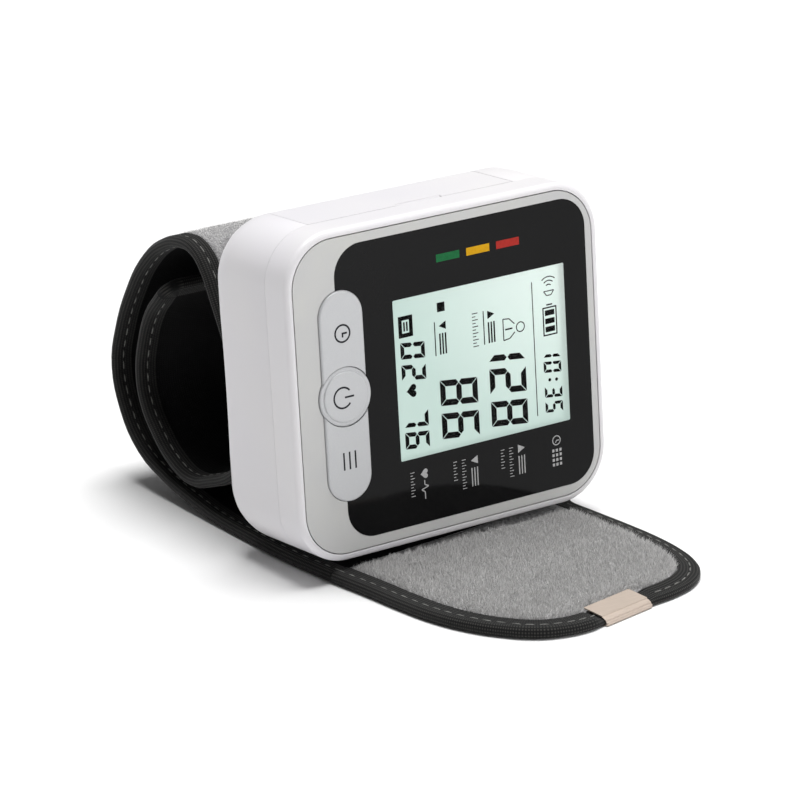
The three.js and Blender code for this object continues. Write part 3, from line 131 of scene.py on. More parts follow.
# The case leans back on its cuff. Its own frame has x to the right, y into the case and z up,
# in millimetres, with its origin in the middle of the display.
press = next(joint for joint in frame["joints"] if joint["name"] == "power_key_press")
case_lean = Matrix.Rotation(math.atan2(press["axis"][2], press["axis"][1]), 4, "X")
lens_low, lens_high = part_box("display_lens")
case_origin = (lens_low + lens_high) / 2 - case_lean @ Vector(LENS_MIDDLE) * MM
case_place = Matrix.Translation(case_origin) @ case_lean @ Matrix.Scale(MM, 4)


def srgb(text):
    """Turns a hex colour into linear red, green, blue and alpha."""
    parts = [int(text[i:i + 2], 16) / 255 for i in (1, 3, 5)]
    return [p / 12.92 if p <= 0.04045 else ((p + 0.055) / 1.055) ** 2.4 for p in parts] + [1]


def node(tree, kind, settings=None, inputs=None, to=None):
    """Adds a node, sets it, fills its inputs with values or links, and links its first output on."""
    made = tree.nodes.new(kind)
    for key, value in (settings or {}).items():
        if key == "stops":
            while len(made.color_ramp.elements) < len(value):
                made.color_ramp.elements.new(1)
            for stop, (place, colour) in zip(made.color_ramp.elements, value):
                stop.position = place
                stop.color = srgb(colour)
        else:
            setattr(made, key, value)
    for key, value in (inputs or {}).items():
        if isinstance(value, bpy.types.NodeSocket):
            tree.links.new(value, made.inputs[key])
        else:
            made.inputs[key].default_value = value
    if to:
        tree.links.new(made.outputs[0], to)
    return made


def start_material(name, **sockets):
    """A new material with its shader's own sockets set, such as Roughness or Base_Color."""
    material = bpy.data.materials.new(name)
    material.use_nodes = True
    shader = material.node_tree.nodes["Principled BSDF"]
    for key, value in sockets.items():
        shader.inputs[key.replace("_", " ")].default_value = value
    return material, material.node_tree, shader


def per_mm(size):
    """The texture scale whose features are about this many millimetres across."""
    return 1 / (size * MM)


def mottled(name, dark, light, grain, rough=None, relief=None, relief_grain=None, stretch=None, detail=2,
            **sockets):
    """A finish clouded from dark to light in patches of grain mm. Its roughness may follow the clouds
    between two values. Its relief has a strength, a depth in mm and may have a finer grain of its own."""
    material, tree, shader = start_material(name, **sockets)
    where = node(tree, "ShaderNodeTexCoord").outputs["Object"]
    if stretch:
        where = node(tree, "ShaderNodeMapping", None, {"Vector": where, "Scale": stretch}).outputs["Vector"]
    cloud = node(tree, "ShaderNodeTexNoise", None,
                 {"Vector": where, "Scale": per_mm(grain), "Detail": detail}).outputs["Fac"]
    node(tree, "ShaderNodeValToRGB", {"stops": ((0.3, dark), (0.7, light))}, {"Fac": cloud},
         shader.inputs["Base Color"])
    if rough:
        node(tree, "ShaderNodeMapRange", None, {"Value": cloud, "To Min": rough[0], "To Max": rough[1]},
             shader.inputs["Roughness"])
    if relief_grain:
        cloud = node(tree, "ShaderNodeTexNoise", None,
                     {"Vector": where, "Scale": per_mm(relief_grain)}).outputs["Fac"]
    if relief:
        strength, depth = relief
        node(tree, "ShaderNodeBump", None, {"Height": cloud, "Strength": strength, "Distance": depth * MM},
             shader.inputs["Normal"])
    return material


def pull(bm, faces, way):
    """Extrudes faces along a way and gives back the faces at its end."""
    fresh = bmesh.ops.extrude_face_region(bm, geom=faces)["geom"]
    bmesh.ops.translate(bm, verts=[part for part in fresh if isinstance(part, bmesh.types.BMVert)], vec=way)
    return [part for part in fresh if isinstance(part, bmesh.types.BMFace)]


def slab(width, height, radius, front, back, x=0, z=0, steps=12):
    """A closed slab with rounded corners in the display's plane, from its front to its back."""
    bm = bmesh.new()
    corners = [bm.verts.new((x + side * width / 2, front, z + up * height / 2))
               for side, up in ((-1, -1), (1, -1), (1, 1), (-1, 1))]
    bm.faces.new(corners)
    bmesh.ops.bevel(bm, geom=corners, offset=radius, offset_type="OFFSET", segments=steps, profile=0.5,
                    affect="VERTICES", material=-1)
    bmesh.ops.remove_doubles(bm, verts=bm.verts[:], dist=TOUCHING)
    pull(bm, bm.faces[:], (0, back - front, 0))
    bmesh.ops.recalc_face_normals(bm, faces=bm.faces[:])
    return bm


def soften(bm, depth, radius, steps):
    """Rounds the edge loop that lies at one depth."""
    edges = [edge for edge in bm.edges if all(abs(v.co.y - depth) < TOUCHING for v in edge.verts)]
    bmesh.ops.bevel(bm, geom=edges, offset=radius, offset_type="OFFSET", segments=steps, profile=0.5,
                    affect="EDGES", material=-1)


def rod(radius, front, back, x, z, steps=24):
    """A closed round rod along y."""
    return slab(2 * radius, 2 * radius, radius, front, back, x, z, steps // 4)


def block(left, right, front, back, low, high):
    """A closed box between three pairs of planes."""
    bm = bmesh.new()
    bmesh.ops.create_cube(bm, size=1)
    bmesh.ops.scale(bm, verts=bm.verts[:], vec=(right - left, back - front, high - low))
    middle = ((left + right) / 2, (front + back) / 2, (low + high) / 2)
    bmesh.ops.translate(bm, verts=bm.verts[:], vec=middle)
    return bm


def carve(base, tools, way="DIFFERENCE"):
    """Cuts the tools out of the base, joins them to it or keeps what they share."""
    solids = []
    for bm in [base] + tools:
        mesh = bpy.data.meshes.new("solid")
        bm.to_mesh(mesh)
        bm.free()
        solids.append(add("solid", mesh))
    for tool in solids[1:]:
        change = solids[0].modifiers.new("carve", "BOOLEAN")
        change.object = tool
        change.operation = way
        change.solver = "EXACT"
    bpy.context.view_layer.update()
    shaped = bmesh.new()
    shaped.from_mesh(solids[0].evaluated_get(bpy.context.evaluated_depsgraph_get()).to_mesh())
    for solid in solids:
        bpy.data.meshes.remove(solid.data)
    return shaped


def piece(name, bm, material, body="monitor", replaces=(), place=case_place, edge=0, sharp=40):
    """Makes a finished piece: its mesh in the shared frame, smooth, with small rounds on hard edges."""
    mesh = bpy.data.meshes.new(name)
    bm.to_mesh(mesh)
    bm.free()
    mesh.transform(place)
    mesh.materials.append(material)
    mesh.shade_smooth()
    made = add(name, mesh)
    if edge:
        rounds = made.modifiers.new("edge_rounds", "BEVEL")
        rounds.width = edge * MM
        rounds.segments = 2
        rounds.limit_method = "ANGLE"
        rounds.angle_limit = math.radians(sharp)
        even = made.modifiers.new("even_shading", "WEIGHTED_NORMAL")
        even.keep_sharp = True
    else:
        mesh.set_sharp_from_angle(angle=math.radians(sharp))
    if body:
        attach(made, body)
    if replaces:
        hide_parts(*replaces)
    return made


def key_openings(grow, front, back):
    """Tools that cut the keyhole-shaped opening which the three keys share."""
    return [
        slab(PILL[0] + 2 * grow, PILL[1] + 2 * grow, PILL[0] / 2 + grow, front, back, KEY_X),
        rod(POWER_KEY / 2 + grow, front, back, KEY_X, 0, 64),
    ]


def case_slab(inset, front, back):
    """A slab with the case's outline, drawn in by an inset."""
    width = CASE_WIDTH - 2 * inset
    return slab(width, CASE_HEIGHT - 2 * inset, CASE_CORNER - inset, front, back, steps=16)


# Moulded ABS: deep gloss with a trace of orange peel, and faint warm flow clouds.
white_abs = mottled("moulded_white_abs", CASE_WHITE, CASE_WHITE_WARM, FLOW_CLOUD, (0.3, 0.38), (0.03, 0.1),
                    ORANGE_PEEL, IOR=1.53)

rim = case_slab(0, 0, PARTING)
soften(rim, 0, RIM_ROUND, 6)
inside = case_slab(CASE_WALL, WALL_BACK, PARTING + 1)
rim = carve(rim, [case_slab(SEAT_INSET, -RIM_ROUND, SEAT_DEPTH), inside])
posts = [rod(POST_RADIUS, SEAT_DEPTH + OVERLAP, PARTING, x, z) for x, z in CASE_SCREWS]
posts += [rod(POST_RADIUS, SEAT_DEPTH + OVERLAP, BOARD_FRONT - OVERLAP, x, z) for x, z in BOARD_POSTS]
rim = carve(rim, posts, "UNION")
openings = [rod(SCREW_HOLE, WALL_BACK, BOARD_FRONT, x, z, 16) for x, z in CASE_SCREWS + BOARD_POSTS]
openings.append(slab(WINDOW[0] + 2 * GLASS_EDGE, WINDOW[1] + 2 * GLASS_EDGE, GLASS_CORNER, 0,
                     WALL_BACK + OVERLAP, *WINDOW_PLACE, steps=3))
rim = carve(rim, openings + key_openings(KEY_ROOM, 0, WALL_BACK + OVERLAP))
piece("front_shell", rim, white_abs, replaces=["front_case"], edge=SHELL_EDGE)

# Rear shell
# The back half of the case, moulded in the same white ABS. Its hollow back fits the wrist plate, and
# the battery tray, the screw tubes and the ribs that carry the pump and speaker are moulded in.
CASE_DEPTH = 30
PARTING_ROUND = 0.15
BACK_ROUND = 7
SIDE_ROUND = 4
LEAST_ROUND = 0.3
ROUND_STEPS = 8
HOLLOW_RADIUS = 132.17
HOLLOW_CENTRE = 159.17
HOLLOW_STEPS = 360
REAR_FRONT = 8.3
TONGUE = (2.1, 3)
TONGUE_REACH = 1.6
TONGUE_ROOT = 0.9
TONGUE_CUT = 20
BESIDE_CASE = 50
TUBE_RADIUS = 3.6
SCREW_SEAT = 20
HEAD_HOLE = 2.6
TRAY = (-27.7, 23, 6.3, 23.75)
TRAY_WALL = 1.2
DOOR_LEDGE = 2.4
DOORWAY = (-29.82, 25.12, 0, 25.8, 35.2, CASE_HEIGHT)
NIPPLE = (14, -8)
NIPPLE_HOLE = 2.2
MOTOR = (18, -8, 7.8)
MOTOR_SPAN = (-40, 0)
MOTOR_RIBS = (-26.5, -15.5)
RIB_HALF = 0.8
CRADLE_HALF = 10.7
VALVE_SHELF = (16.23, 23.57, 23.8, CASE_DEPTH, -31, -16)
SPEAKER = (24, 9)
SPEAKER_RADIUS = 9.8
SPEAKER_WALL = 1.2
SPEAKER_FRONT = 22.6
HAIRLINE = 0.01
CLOSED_SLIT = 0.02


def drawn_in(reach, radius):
    """How far a rounded edge has drawn in, a given reach past the start of its round."""
    return 0 if reach <= 0 else radius - math.sqrt(max(0, radius * radius - reach * reach))


def rod_along_x(radius, left, right, y, z, steps=48):
    """A closed round rod across the case."""
    bm = bmesh.new()
    bmesh.ops.create_cone(bm, cap_ends=True, segments=steps, radius1=radius, radius2=radius,
                          depth=right - left)
    bmesh.ops.rotate(bm, verts=bm.verts[:], matrix=Matrix.Rotation(math.pi / 2, 3, "Y"))
    bmesh.ops.translate(bm, verts=bm.verts[:], vec=((left + right) / 2, y, z))
    return bm


def split(bm, place, way):
    """Cuts every face that a plane crosses in two."""
    bmesh.ops.bisect_plane(bm, geom=bm.verts[:] + bm.edges[:] + bm.faces[:], dist=0.0001, plane_co=place,
                           plane_no=way)


def case_body(front, wall):
    """The case's outer form, or its inside at a wall's distance, from a front depth to the back."""
    depth = CASE_DEPTH - wall
    back_round = BACK_ROUND - wall
    side_round = max(SIDE_ROUND - wall, LEAST_ROUND)
    flat_x = CASE_WIDTH / 2 - CASE_CORNER
    flat_z = CASE_HEIGHT / 2 - CASE_CORNER
    bm = case_slab(wall, front, depth)
    if not wall:
        soften(bm, front, PARTING_ROUND, 2)
    for step in range(ROUND_STEPS):
        level = depth - back_round * (1 - math.sin(step / ROUND_STEPS * math.pi / 2))
        split(bm, (0, level, 0), (0, 1, 0))
    for vertex in bm.verts:
        drop = drawn_in(vertex.co.y - depth + back_round, back_round)
        draw = drawn_in(vertex.co.y - depth + side_round, side_round)
        middle = Vector((max(-flat_x, min(flat_x, vertex.co.x)), 0, max(-flat_z, min(flat_z, vertex.co.z))))
        away = Vector((vertex.co.x, 0, vertex.co.z)) - middle
        shift = Vector((0, vertex.co.y, math.copysign(1, vertex.co.z) * (draw - drop)))
        vertex.co = middle + away * (1 - draw / (CASE_CORNER - wall)) + shift
    hollow = rod_along_x(HOLLOW_RADIUS + wall, -CASE_WIDTH, CASE_WIDTH, HOLLOW_CENTRE, 0, HOLLOW_STEPS)
    return carve(bm, [hollow])


tray_left, tray_right, tray_front, tray_floor = TRAY
motor_depth, motor_up, motor_radius = MOTOR
ribs = block(tray_left - DOOR_LEDGE, tray_right + DOOR_LEDGE, tray_front - TRAY_WALL, CASE_DEPTH,
             tray_floor - TRAY_WALL, CASE_HEIGHT / 2)
under_rim = CASE_HEIGHT / 2 - CASE_WALL - OVERLAP
ribs = carve(ribs, [block(-BESIDE_CASE, BESIDE_CASE, 0, REAR_FRONT, under_rim, CASE_HEIGHT)])
inner_works = []
for x in MOTOR_RIBS:
    rib = block(x - RIB_HALF, x + RIB_HALF, motor_depth, CASE_DEPTH, motor_up - CRADLE_HALF,
                motor_up + CRADLE_HALF)
    inner_works.append(carve(rib, [rod_along_x(motor_radius, *MOTOR_SPAN, motor_depth, motor_up)]))
inner_works.append(block(*VALVE_SHELF))
inner_works.append(carve(rod(SPEAKER_RADIUS + SPEAKER_WALL, SPEAKER_FRONT, CASE_DEPTH, *SPEAKER, 64),
                         [rod(SPEAKER_RADIUS, 0, CASE_DEPTH + 1, *SPEAKER, 64)]))
inner_works += [rod(TUBE_RADIUS, REAR_FRONT, CASE_DEPTH, x, z) for x, z in CASE_SCREWS]
ribs = carve(ribs, inner_works, "UNION")
ribs = carve(ribs, [case_body(0, CASE_WALL - OVERLAP)], "INTERSECT")
bands = []
for inset, front in ((TONGUE[0], PARTING - TONGUE_REACH), (CASE_WALL - OVERLAP, REAR_FRONT + HAIRLINE)):
    band = case_slab(inset, front, REAR_FRONT + TONGUE_ROOT)
    bands.append(carve(band, [case_slab(TONGUE[1], 0, TONGUE_CUT)]))
back_shell = carve(case_body(REAR_FRONT, 0), [case_body(REAR_FRONT - 1, CASE_WALL)])
back_shell = carve(back_shell, bands + [ribs], "UNION")
inside_tray = block(tray_left, tray_right, tray_front, CASE_DEPTH, tray_floor, CASE_HEIGHT)
cuts = [carve(inside_tray, [case_body(0, CASE_WALL)], "INTERSECT"), block(*DOORWAY)]
cuts.append(rod(NIPPLE_HOLE, 0, CASE_DEPTH + 1, *NIPPLE))
cuts += [rod(SCREW_HOLE, 0, CASE_DEPTH, x, z) for x, z in CASE_SCREWS]
cuts += [rod(HEAD_HOLE, SCREW_SEAT, CASE_DEPTH + 1, x, z) for x, z in CASE_SCREWS]
back_shell = carve(back_shell, cuts)
in_order = sorted(back_shell.verts, key=lambda vertex: vertex.co[:])
bmesh.ops.remove_doubles(back_shell, verts=in_order, dist=CLOSED_SLIT)
piece("rear_shell", back_shell, white_abs, replaces=["rear_case"], sharp=25)

# Battery door
# A slice of the case's top over the two cells, moulded to lie flush, with a finger scoop
# at its front edge. It tilts on its rear edge and lifts away.
DOOR = (-29.7, 25, 8.42, 25.5, 35.65, CASE_HEIGHT)
DOOR_FRONT = DOOR[2]
SCOOP_HALF = 5.95
SCOOP_RADIUS = 1.4
SCOOP_DEPTH = 0.7
door = carve(case_body(REAR_FRONT, 0), [block(*DOOR)], "INTERSECT")
scoop_up = CASE_HEIGHT / 2 + SCOOP_RADIUS - SCOOP_DEPTH
scoop = rod_along_x(SCOOP_RADIUS, -SCOOP_HALF, SCOOP_HALF, DOOR_FRONT, scoop_up)
piece("door", carve(door, [scoop]), white_abs, "door", ["battery_door"], edge=SHELL_EDGE)

# Silver plate
# A moulded plate, sprayed satin silver and glued into the rim's seat. A fine dark seam runs round it,
# and it has an opening for the black panel and one for the keys.
PLATE_INSET = 1.86
PLATE_THICK = 1.2
PLATE_EDGE = 0.06
PANEL = (67.35, 66.2, 7)
PANEL_PLACE = (4.53, 0.1)
PANEL_GAP = 0.05
KEY_SEAM = 0.12
THROUGH = (-1, 2)
SILVER = "#CDCDCA"
SILVER_COOL = "#C8C8C8"
SPRAY_CLOUD = 14
FLAKE = 0.12

# Silver spray: a satin coat of aluminium flakes, drawn coarser than they are so that they show.
silver_paint = mottled("satin_silver_paint", SILVER_COOL, SILVER, SPRAY_CLOUD, detail=3, Metallic=0.12)
tree = silver_paint.node_tree
shader = tree.nodes["Principled BSDF"]
where = node(tree, "ShaderNodeTexCoord").outputs["Object"]
flakes = node(tree, "ShaderNodeTexVoronoi", None, {"Vector": where, "Scale": per_mm(FLAKE)})
flakes = flakes.outputs["Distance"]
node(tree, "ShaderNodeMapRange", None, {"Value": flakes, "To Min": 0.42, "To Max": 0.5},
     shader.inputs["Roughness"])
node(tree, "ShaderNodeBump", None, {"Height": flakes, "Strength": 0.06, "Distance": 0.05 * MM},
     shader.inputs["Normal"])
panel_hole = slab(*[size + 2 * PANEL_GAP for size in PANEL[:2]], PANEL[2] + PANEL_GAP, *THROUGH, *PANEL_PLACE)
plate = carve(case_slab(PLATE_INSET, 0, PLATE_THICK), [panel_hole] + key_openings(KEY_SEAM, *THROUGH))
piece("silver_plate", plate, silver_paint, replaces=["bezel_plate"], edge=PLATE_EDGE)

# Display panel and window
# A sheet of acrylic, printed black on its back, left clear over the display and glued into the plate.
# The print makes the black look deep and even behind a polished face.
UNDERCUT = 1.1
LENS_UNDERCUT = 1
WINDOW_CORNER = 0.3
LENS_EDGE = 0.03
PRINT_CLOUD = 20
POLISH_CLOUD = 9


def flared(width, height, front, back, grow):
    """The window's slab, growing towards the back so that its edges don't show from the front."""
    bm = slab(width, height, WINDOW_CORNER, front, back, *WINDOW_PLACE, steps=3)
    rear = [vertex for vertex in bm.verts if abs(vertex.co.y - back) < TOUCHING]
    middle = Vector((WINDOW_PLACE[0], 0, WINDOW_PLACE[1]))
    bmesh.ops.scale(bm, verts=rear, vec=((width + 2 * grow) / width, 1, (height + 2 * grow) / height),
                    space=Matrix.Translation(-middle))
    return bm


# Back-printed acrylic: near black under a clear polished face, so it mirrors softly.
black_acrylic = mottled("back_printed_black_acrylic", "#0B0B0C", "#0E0E0F", PRINT_CLOUD, (0.04, 0.09),
                        detail=3, IOR=1.49, Specular_IOR_Level=0.14)
panel = slab(*PANEL, 0, PLATE_THICK, *PANEL_PLACE)
panel = carve(panel, [flared(*WINDOW, 0, PLATE_THICK, UNDERCUT)])
panel = carve(panel, key_openings(KEY_SEAM, *THROUGH))
piece("black_panel", panel, black_acrylic, replaces=["display_panel"], sharp=30)

# Clear acrylic: polished and colourless. A low index keeps its reflections as faint as its coating does.
clear_acrylic, tree, shader = start_material("clear_acrylic", IOR=1.1, Transmission_Weight=1.0)
where = node(tree, "ShaderNodeTexCoord").outputs["Object"]
cloud = node(tree, "ShaderNodeTexNoise", None, {"Vector": where, "Scale": per_mm(POLISH_CLOUD)})
node(tree, "ShaderNodeMapRange", None, {"Value": cloud.outputs["Fac"], "To Min": 0.0, "To Max": 0.02},
     shader.inputs["Roughness"])
lens = flared(WINDOW[0] - 2 * LENS_EDGE, WINDOW[1] - 2 * LENS_EDGE, 0, PLATE_THICK, LENS_UNDERCUT)
piece("window_lens", lens, clear_acrylic, replaces=["display_lens"], sharp=30)

# Liquid crystal display
# Two bonded panes of glass over a pale green reflector, lit faintly from behind; part of the reflector's glow
# is painted light that stands in for the lamp light which the clear lens holds back. Its dark segments and
# signs lie between the panes; the display is read with the monitor turned on its right side.
LCD_FRONT = 1.5
SIGN_DEPTHS = (LCD_FRONT - 0.03, LCD_FRONT + 0.05)
# Where the painted reflection of the overhead light lies on the reflector, and how far it reaches.
GLINT_PLACE = (32, 0, 62)
GLINT_REACH = 48
GLASS_GRAIN = 0.25
CRYSTAL_GRAIN = 0.4
MINT = "#D3EAE2"
# A paler glow at the painted reflection, and a darker base colour away from it.
MINT_PAINTED_GLINT = "#E0E9E4"
MINT_AWAY_FROM_GLINT = "#8FA19B"
SEGMENT_GAP = 0.11
SEGMENTS = {"0": "abcdef", "1": "bc", "2": "abged", "3": "abgcd", "5": "afgcd", "6": "afgedc", "7": "abc",
            "8": "abcdefg"}
DIGIT_LEAN = 0.113
# Each row of digits with their left edges, low edge, width, height and stroke.
DIGIT_ROWS = (
    ("128", (-5.6, 1.93, 9.47), 10.55, 5.75, 10, 1.42),
    ("86", (1.75, 9.35), -2.95, 5.85, 10.1, 1.42),
    ("76", (6.7, 11.67), -12.9, 3.8, 6.45, 1),
    ("0", (-8.76,), -12.9, 3.7, 6.45, 1),
    ("2", (-3.7,), -12.9, 3.5, 6.45, 1),
    ("1035", (-0.35, 3.2, 9, 12.5), 25.5, 2.55, 4.85, 0.7),
)
CLOCK_LOW = 25.5
ARROW = 1.9
MARK_PITCH = 0.75
EYE_SHIFT = (0.69, 0, -0.34)


def patch(bm, corners):
    """A flat sign from its corners in the reading direction: first to the right, then up."""
    bm.faces.new([bm.verts.new((up, 0, -right)) for right, up in corners])


def tile(bm, across, up, width, height):
    """A flat rectangle round its middle."""
    patch(bm, [(across + side * width / 2, up + end * height / 2)
               for side, end in ((-1, -1), (1, -1), (1, 1), (-1, 1))])


def strokes(bm, width, *lines):
    """Straight strokes of a sign, each between two points."""
    for line in lines:
        start, end = [Vector(spot) for spot in line]
        side = (end - start).normalized().orthogonal() * width / 2
        patch(bm, [start + side, end + side, end - side, start - side])


def arc(bm, centre, radius, width, first=0, last=360, steps=32):
    """A stroke along part of a circle, or all of it; angles run from the right, upwards."""
    turn = math.radians(first)
    ends = []
    for reach in (radius - width / 2, radius + width / 2):
        right = centre[0] + reach * math.cos(turn)
        up = centre[1] + reach * math.sin(turn)
        ends.append(bm.verts.new((up, 0, -right)))
    line = bm.edges.new(ends)
    bmesh.ops.spin(bm, geom=ends + [line], cent=(centre[1], 0, -centre[0]), axis=(0, -1, 0),
                   angle=math.radians(last - first), steps=steps, use_merge=last - first == 360)


def disc(bm, centre, radius, steps):
    """A filled round dot."""
    patch(bm, [(centre[0] + radius * math.cos(i * math.tau / steps),
                centre[1] + radius * math.sin(i * math.tau / steps)) for i in range(steps)])


def digit(bm, number, left, low, width, height, weight):
    """A seven-segment digit with mitred ends and fine gaps."""
    gap = SEGMENT_GAP
    half = height / 2
    side = weight / 2
    inner = width - weight
    top = [(gap, height), (width - gap, height), (inner - gap, height - weight),
           (weight + gap, height - weight)]
    right = [(width, height - gap), (inner, height - weight - gap), (inner, half + side + gap),
             (width - side, half + gap), (width, half + side)]
    bar = [(side + gap, half), (weight + gap, half + side), (inner - gap, half + side),
           (width - side - gap, half), (inner - gap, half - side), (weight + gap, half - side)]
    shapes = {"a": top, "b": right, "g": bar}
    shapes["d"] = [(across, height - up) for across, up in top]
    shapes["c"] = [(across, height - up) for across, up in right]
    shapes["f"] = [(width - across, up) for across, up in right]
    shapes["e"] = [(width - across, height - up) for across, up in right]
    for letter in SEGMENTS[number]:
        patch(bm, [(left + across + DIGIT_LEAN * up, low + up) for across, up in shapes[letter]])


def heart(bm, centre, size, steps=28):
    """A filled heart, by the usual curve, which is 32 units wide."""
    corners = []
    for i in range(steps):
        turn = i * math.tau / steps
        across = 16 * math.sin(turn) ** 3
        up = 13 * math.cos(turn) - 5 * math.cos(2 * turn) - 2 * math.cos(3 * turn) - math.cos(4 * turn)
        corners.append((centre[0] + across * size / 32, centre[1] + up * size / 32))
    patch(bm, corners)


def row_mark(bm, across, up, way, left, right, width):
    """A row's mark: an arrow head that points up or down, and three short bars beside it."""
    low = up - way * ARROW / 2
    patch(bm, [(across - ARROW / 2, low), (across + ARROW / 2, low), (across, low + way * ARROW)])
    for step in (-1, 0, 1):
        strokes(bm, width, ((left, up + step * MARK_PITCH), (right, up + step * MARK_PITCH)))


def ticks(bm, left, right, low, height, count, width):
    """A short scale: a row of fine upright strokes, every other one lower."""
    for i in range(count):
        across = left + (right - left) * i / (count - 1)
        strokes(bm, width, ((across, low), (across, low + height * (0.6 if i % 2 else 1))))


def printed(bm, front, back):
    """Gives flat signs their thickness and brings them to their depth."""
    pull(bm, bm.faces[:], (0, back - front, 0))
    bmesh.ops.translate(bm, verts=bm.verts[:], vec=(0, front, 0))
    bmesh.ops.recalc_face_normals(bm, faces=bm.faces[:])
    return bm


def repaint(material, *nodes):
    """Gives CAD nodes whose shape is right a finished material."""
    for name in nodes:
        frame["nodes"][name].data.materials.clear()
        frame["nodes"][name].data.materials.append(material)


# Reflector glass: pale mint, with a painted reflection of the overhead light that makes its glow and colour
# paler towards its upper right, and darker away from there.
# The emission is partly the backlight and partly painted light in place of the lamp light that the lens holds
# back.
lcd_mint, tree, shader = start_material("mint_lcd_reflector", Roughness=0.25, Emission_Strength=0.84)
where = node(tree, "ShaderNodeTexCoord").outputs["Object"]
# A painted reflection: glow and base colour grow paler towards this place and darker away from it.
glint_offset = node(tree, "ShaderNodeMapping", None,
            {"Vector": where, "Location": [-part * MM for part in GLINT_PLACE]}).outputs["Vector"]
spread = node(tree, "ShaderNodeVectorMath", {"operation": "SCALE"}, {0: glint_offset, "Scale": per_mm(GLINT_REACH)})
spread = spread.outputs["Vector"]
glint_falloff = node(tree, "ShaderNodeTexGradient", {"gradient_type": "SPHERICAL"}, {"Vector": spread})
for low, high, socket in ((MINT, MINT_PAINTED_GLINT, "Emission Color"), (MINT_AWAY_FROM_GLINT, MINT, "Base Color")):
    node(tree, "ShaderNodeValToRGB", {"stops": ((0.1, low), (0.75, high))}, {"Fac": glint_falloff.outputs["Fac"]},
         shader.inputs[socket])
grain = node(tree, "ShaderNodeTexNoise", None, {"Vector": where, "Scale": per_mm(GLASS_GRAIN)}).outputs["Fac"]
node(tree, "ShaderNodeBump", None, {"Height": grain, "Strength": 0.02, "Distance": 0.05 * MM},
     shader.inputs["Normal"])
repaint(lcd_mint, "lcd_panel")

# Liquid crystal segments: dense black with no gloss of their own.
lcd_black = mottled("liquid_crystal_black", "#050606", "#0A0C0B", CRYSTAL_GRAIN, Roughness=0.5,
                    Specular_IOR_Level=0.1)
signs = bmesh.new()
for numbers, lefts, low, width, height, weight in DIGIT_ROWS:
    for number, left in zip(numbers, lefts):
        digit(signs, number, left, low, width, height, weight)
# The clock's colon, the line under it, and the pulse's heart.
for up in (27, 28.9):
    disc(signs, (7.45 + DIGIT_LEAN * (up - CLOCK_LOW), up), 0.4, 12)
strokes(signs, 0.22, ((-15.7, 23.2), (15.3, 23.2)))
heart(signs, (2.5, -10.4), 3)
# The level mark and the two pressure rows' marks with their scale.
tile(signs, -14.85, -1.635, 2.1, 2.05)
for up, way in ((11.7, 1), (-1.5, -1)):
    row_mark(signs, -10.6, up, way, -8.9, -4.1, 0.4)
    strokes(signs, 0.26, ((-11.7, up - 2.05), (-4, up - 2.05)))
ticks(signs, -11.6, -4.1, 6.6, 1.5, 11, 0.2)
# The memory sign: a box with two lines in it.
for up in (-12.65, -9.8):
    strokes(signs, 0.95, ((-14.67, up), (-9.83, up)))
for across in (-14.2, -10.3):
    strokes(signs, 0.95, ((across, -12.65), (across, -9.8)))
for up in (-11.6, -10.85):
    strokes(signs, 0.42, ((-13.3, up), (-11.2, up)))
# The battery sign with its three bars.
strokes(signs, 0.32, ((-9.1, 26), (-2.8, 26)), ((-9.1, 29.6), (-2.8, 29.6)), ((-9.1, 25.85), (-9.1, 29.75)),
        ((-2.8, 25.85), (-2.8, 29.75)), ((-9.75, 27), (-9.75, 28.6)))
for across in (-7.9, -6, -4.1):
    tile(signs, across, 27.8, 1.24, 2.6)
# The loudspeaker sign with its sound waves.
strokes(signs, 0.22, ((-12.9, 26.4), (-12.9, 29.2)), ((-11.9, 27.2), (-11.9, 28.4)),
        ((-12.9, 26.4), (-11.9, 27.2)), ((-12.9, 29.2), (-11.9, 28.4)))
for radius in (1, 1.9, 2.8):
    arc(signs, (-13.4, 27.8), radius, 0.24, 140, 220, 10)
# The user sign: a head over shoulders.
arc(signs, (-6.2, 19.6), 1.1, 0.25)
strokes(signs, 0.25, ((-8.8, 14.9), (-3.9, 14.9)), ((-8.8, 14.9), (-8.6, 16.6)), ((-3.9, 14.9), (-4.1, 16.6)),
        ((-8.6, 16.6), (-7.2, 18)), ((-4.1, 16.6), (-5.3, 18)))
strokes(signs, 0.35, ((-6.3, 15.4), (-6.3, 17.4)))
# The signs lie deep behind the panel's face, which shifts them to the eye, so they sit to the lower right.
bmesh.ops.translate(signs, verts=signs.verts[:], vec=EYE_SHIFT)
piece("lcd_signs", printed(signs, *SIGN_DEPTHS), lcd_black, sharp=30)

# Panel prints
# Three bars in the usual green, amber and red of a pressure scale, and small grey signs for the rows
# of the display, screen-printed on the panel.
PRINT_DEPTHS = (-0.012, 0.03)
MESH_MOTTLE = 0.5
BAR_SIZE = (1.75, 6.25)
BAR_ACROSS = -25.925
BAR_FIRST = 0.725
BAR_STEP = 8.1
BAR_INKS = (("green", "#186638", "#1C7040"), ("amber", "#D79F0C", "#E0AA10"), ("red", "#AC2C26", "#B8322A"))
LEGEND_LEFT = 21
LEGEND_RIGHT = 27.6
TICK = 0.16


def ink(name, dark, light):
    """Screen-printing ink: even and slightly glossy, with the faint mottle of the mesh."""
    return mottled(name, dark, light, MESH_MOTTLE, Roughness=0.3, Specular_IOR_Level=0.1)


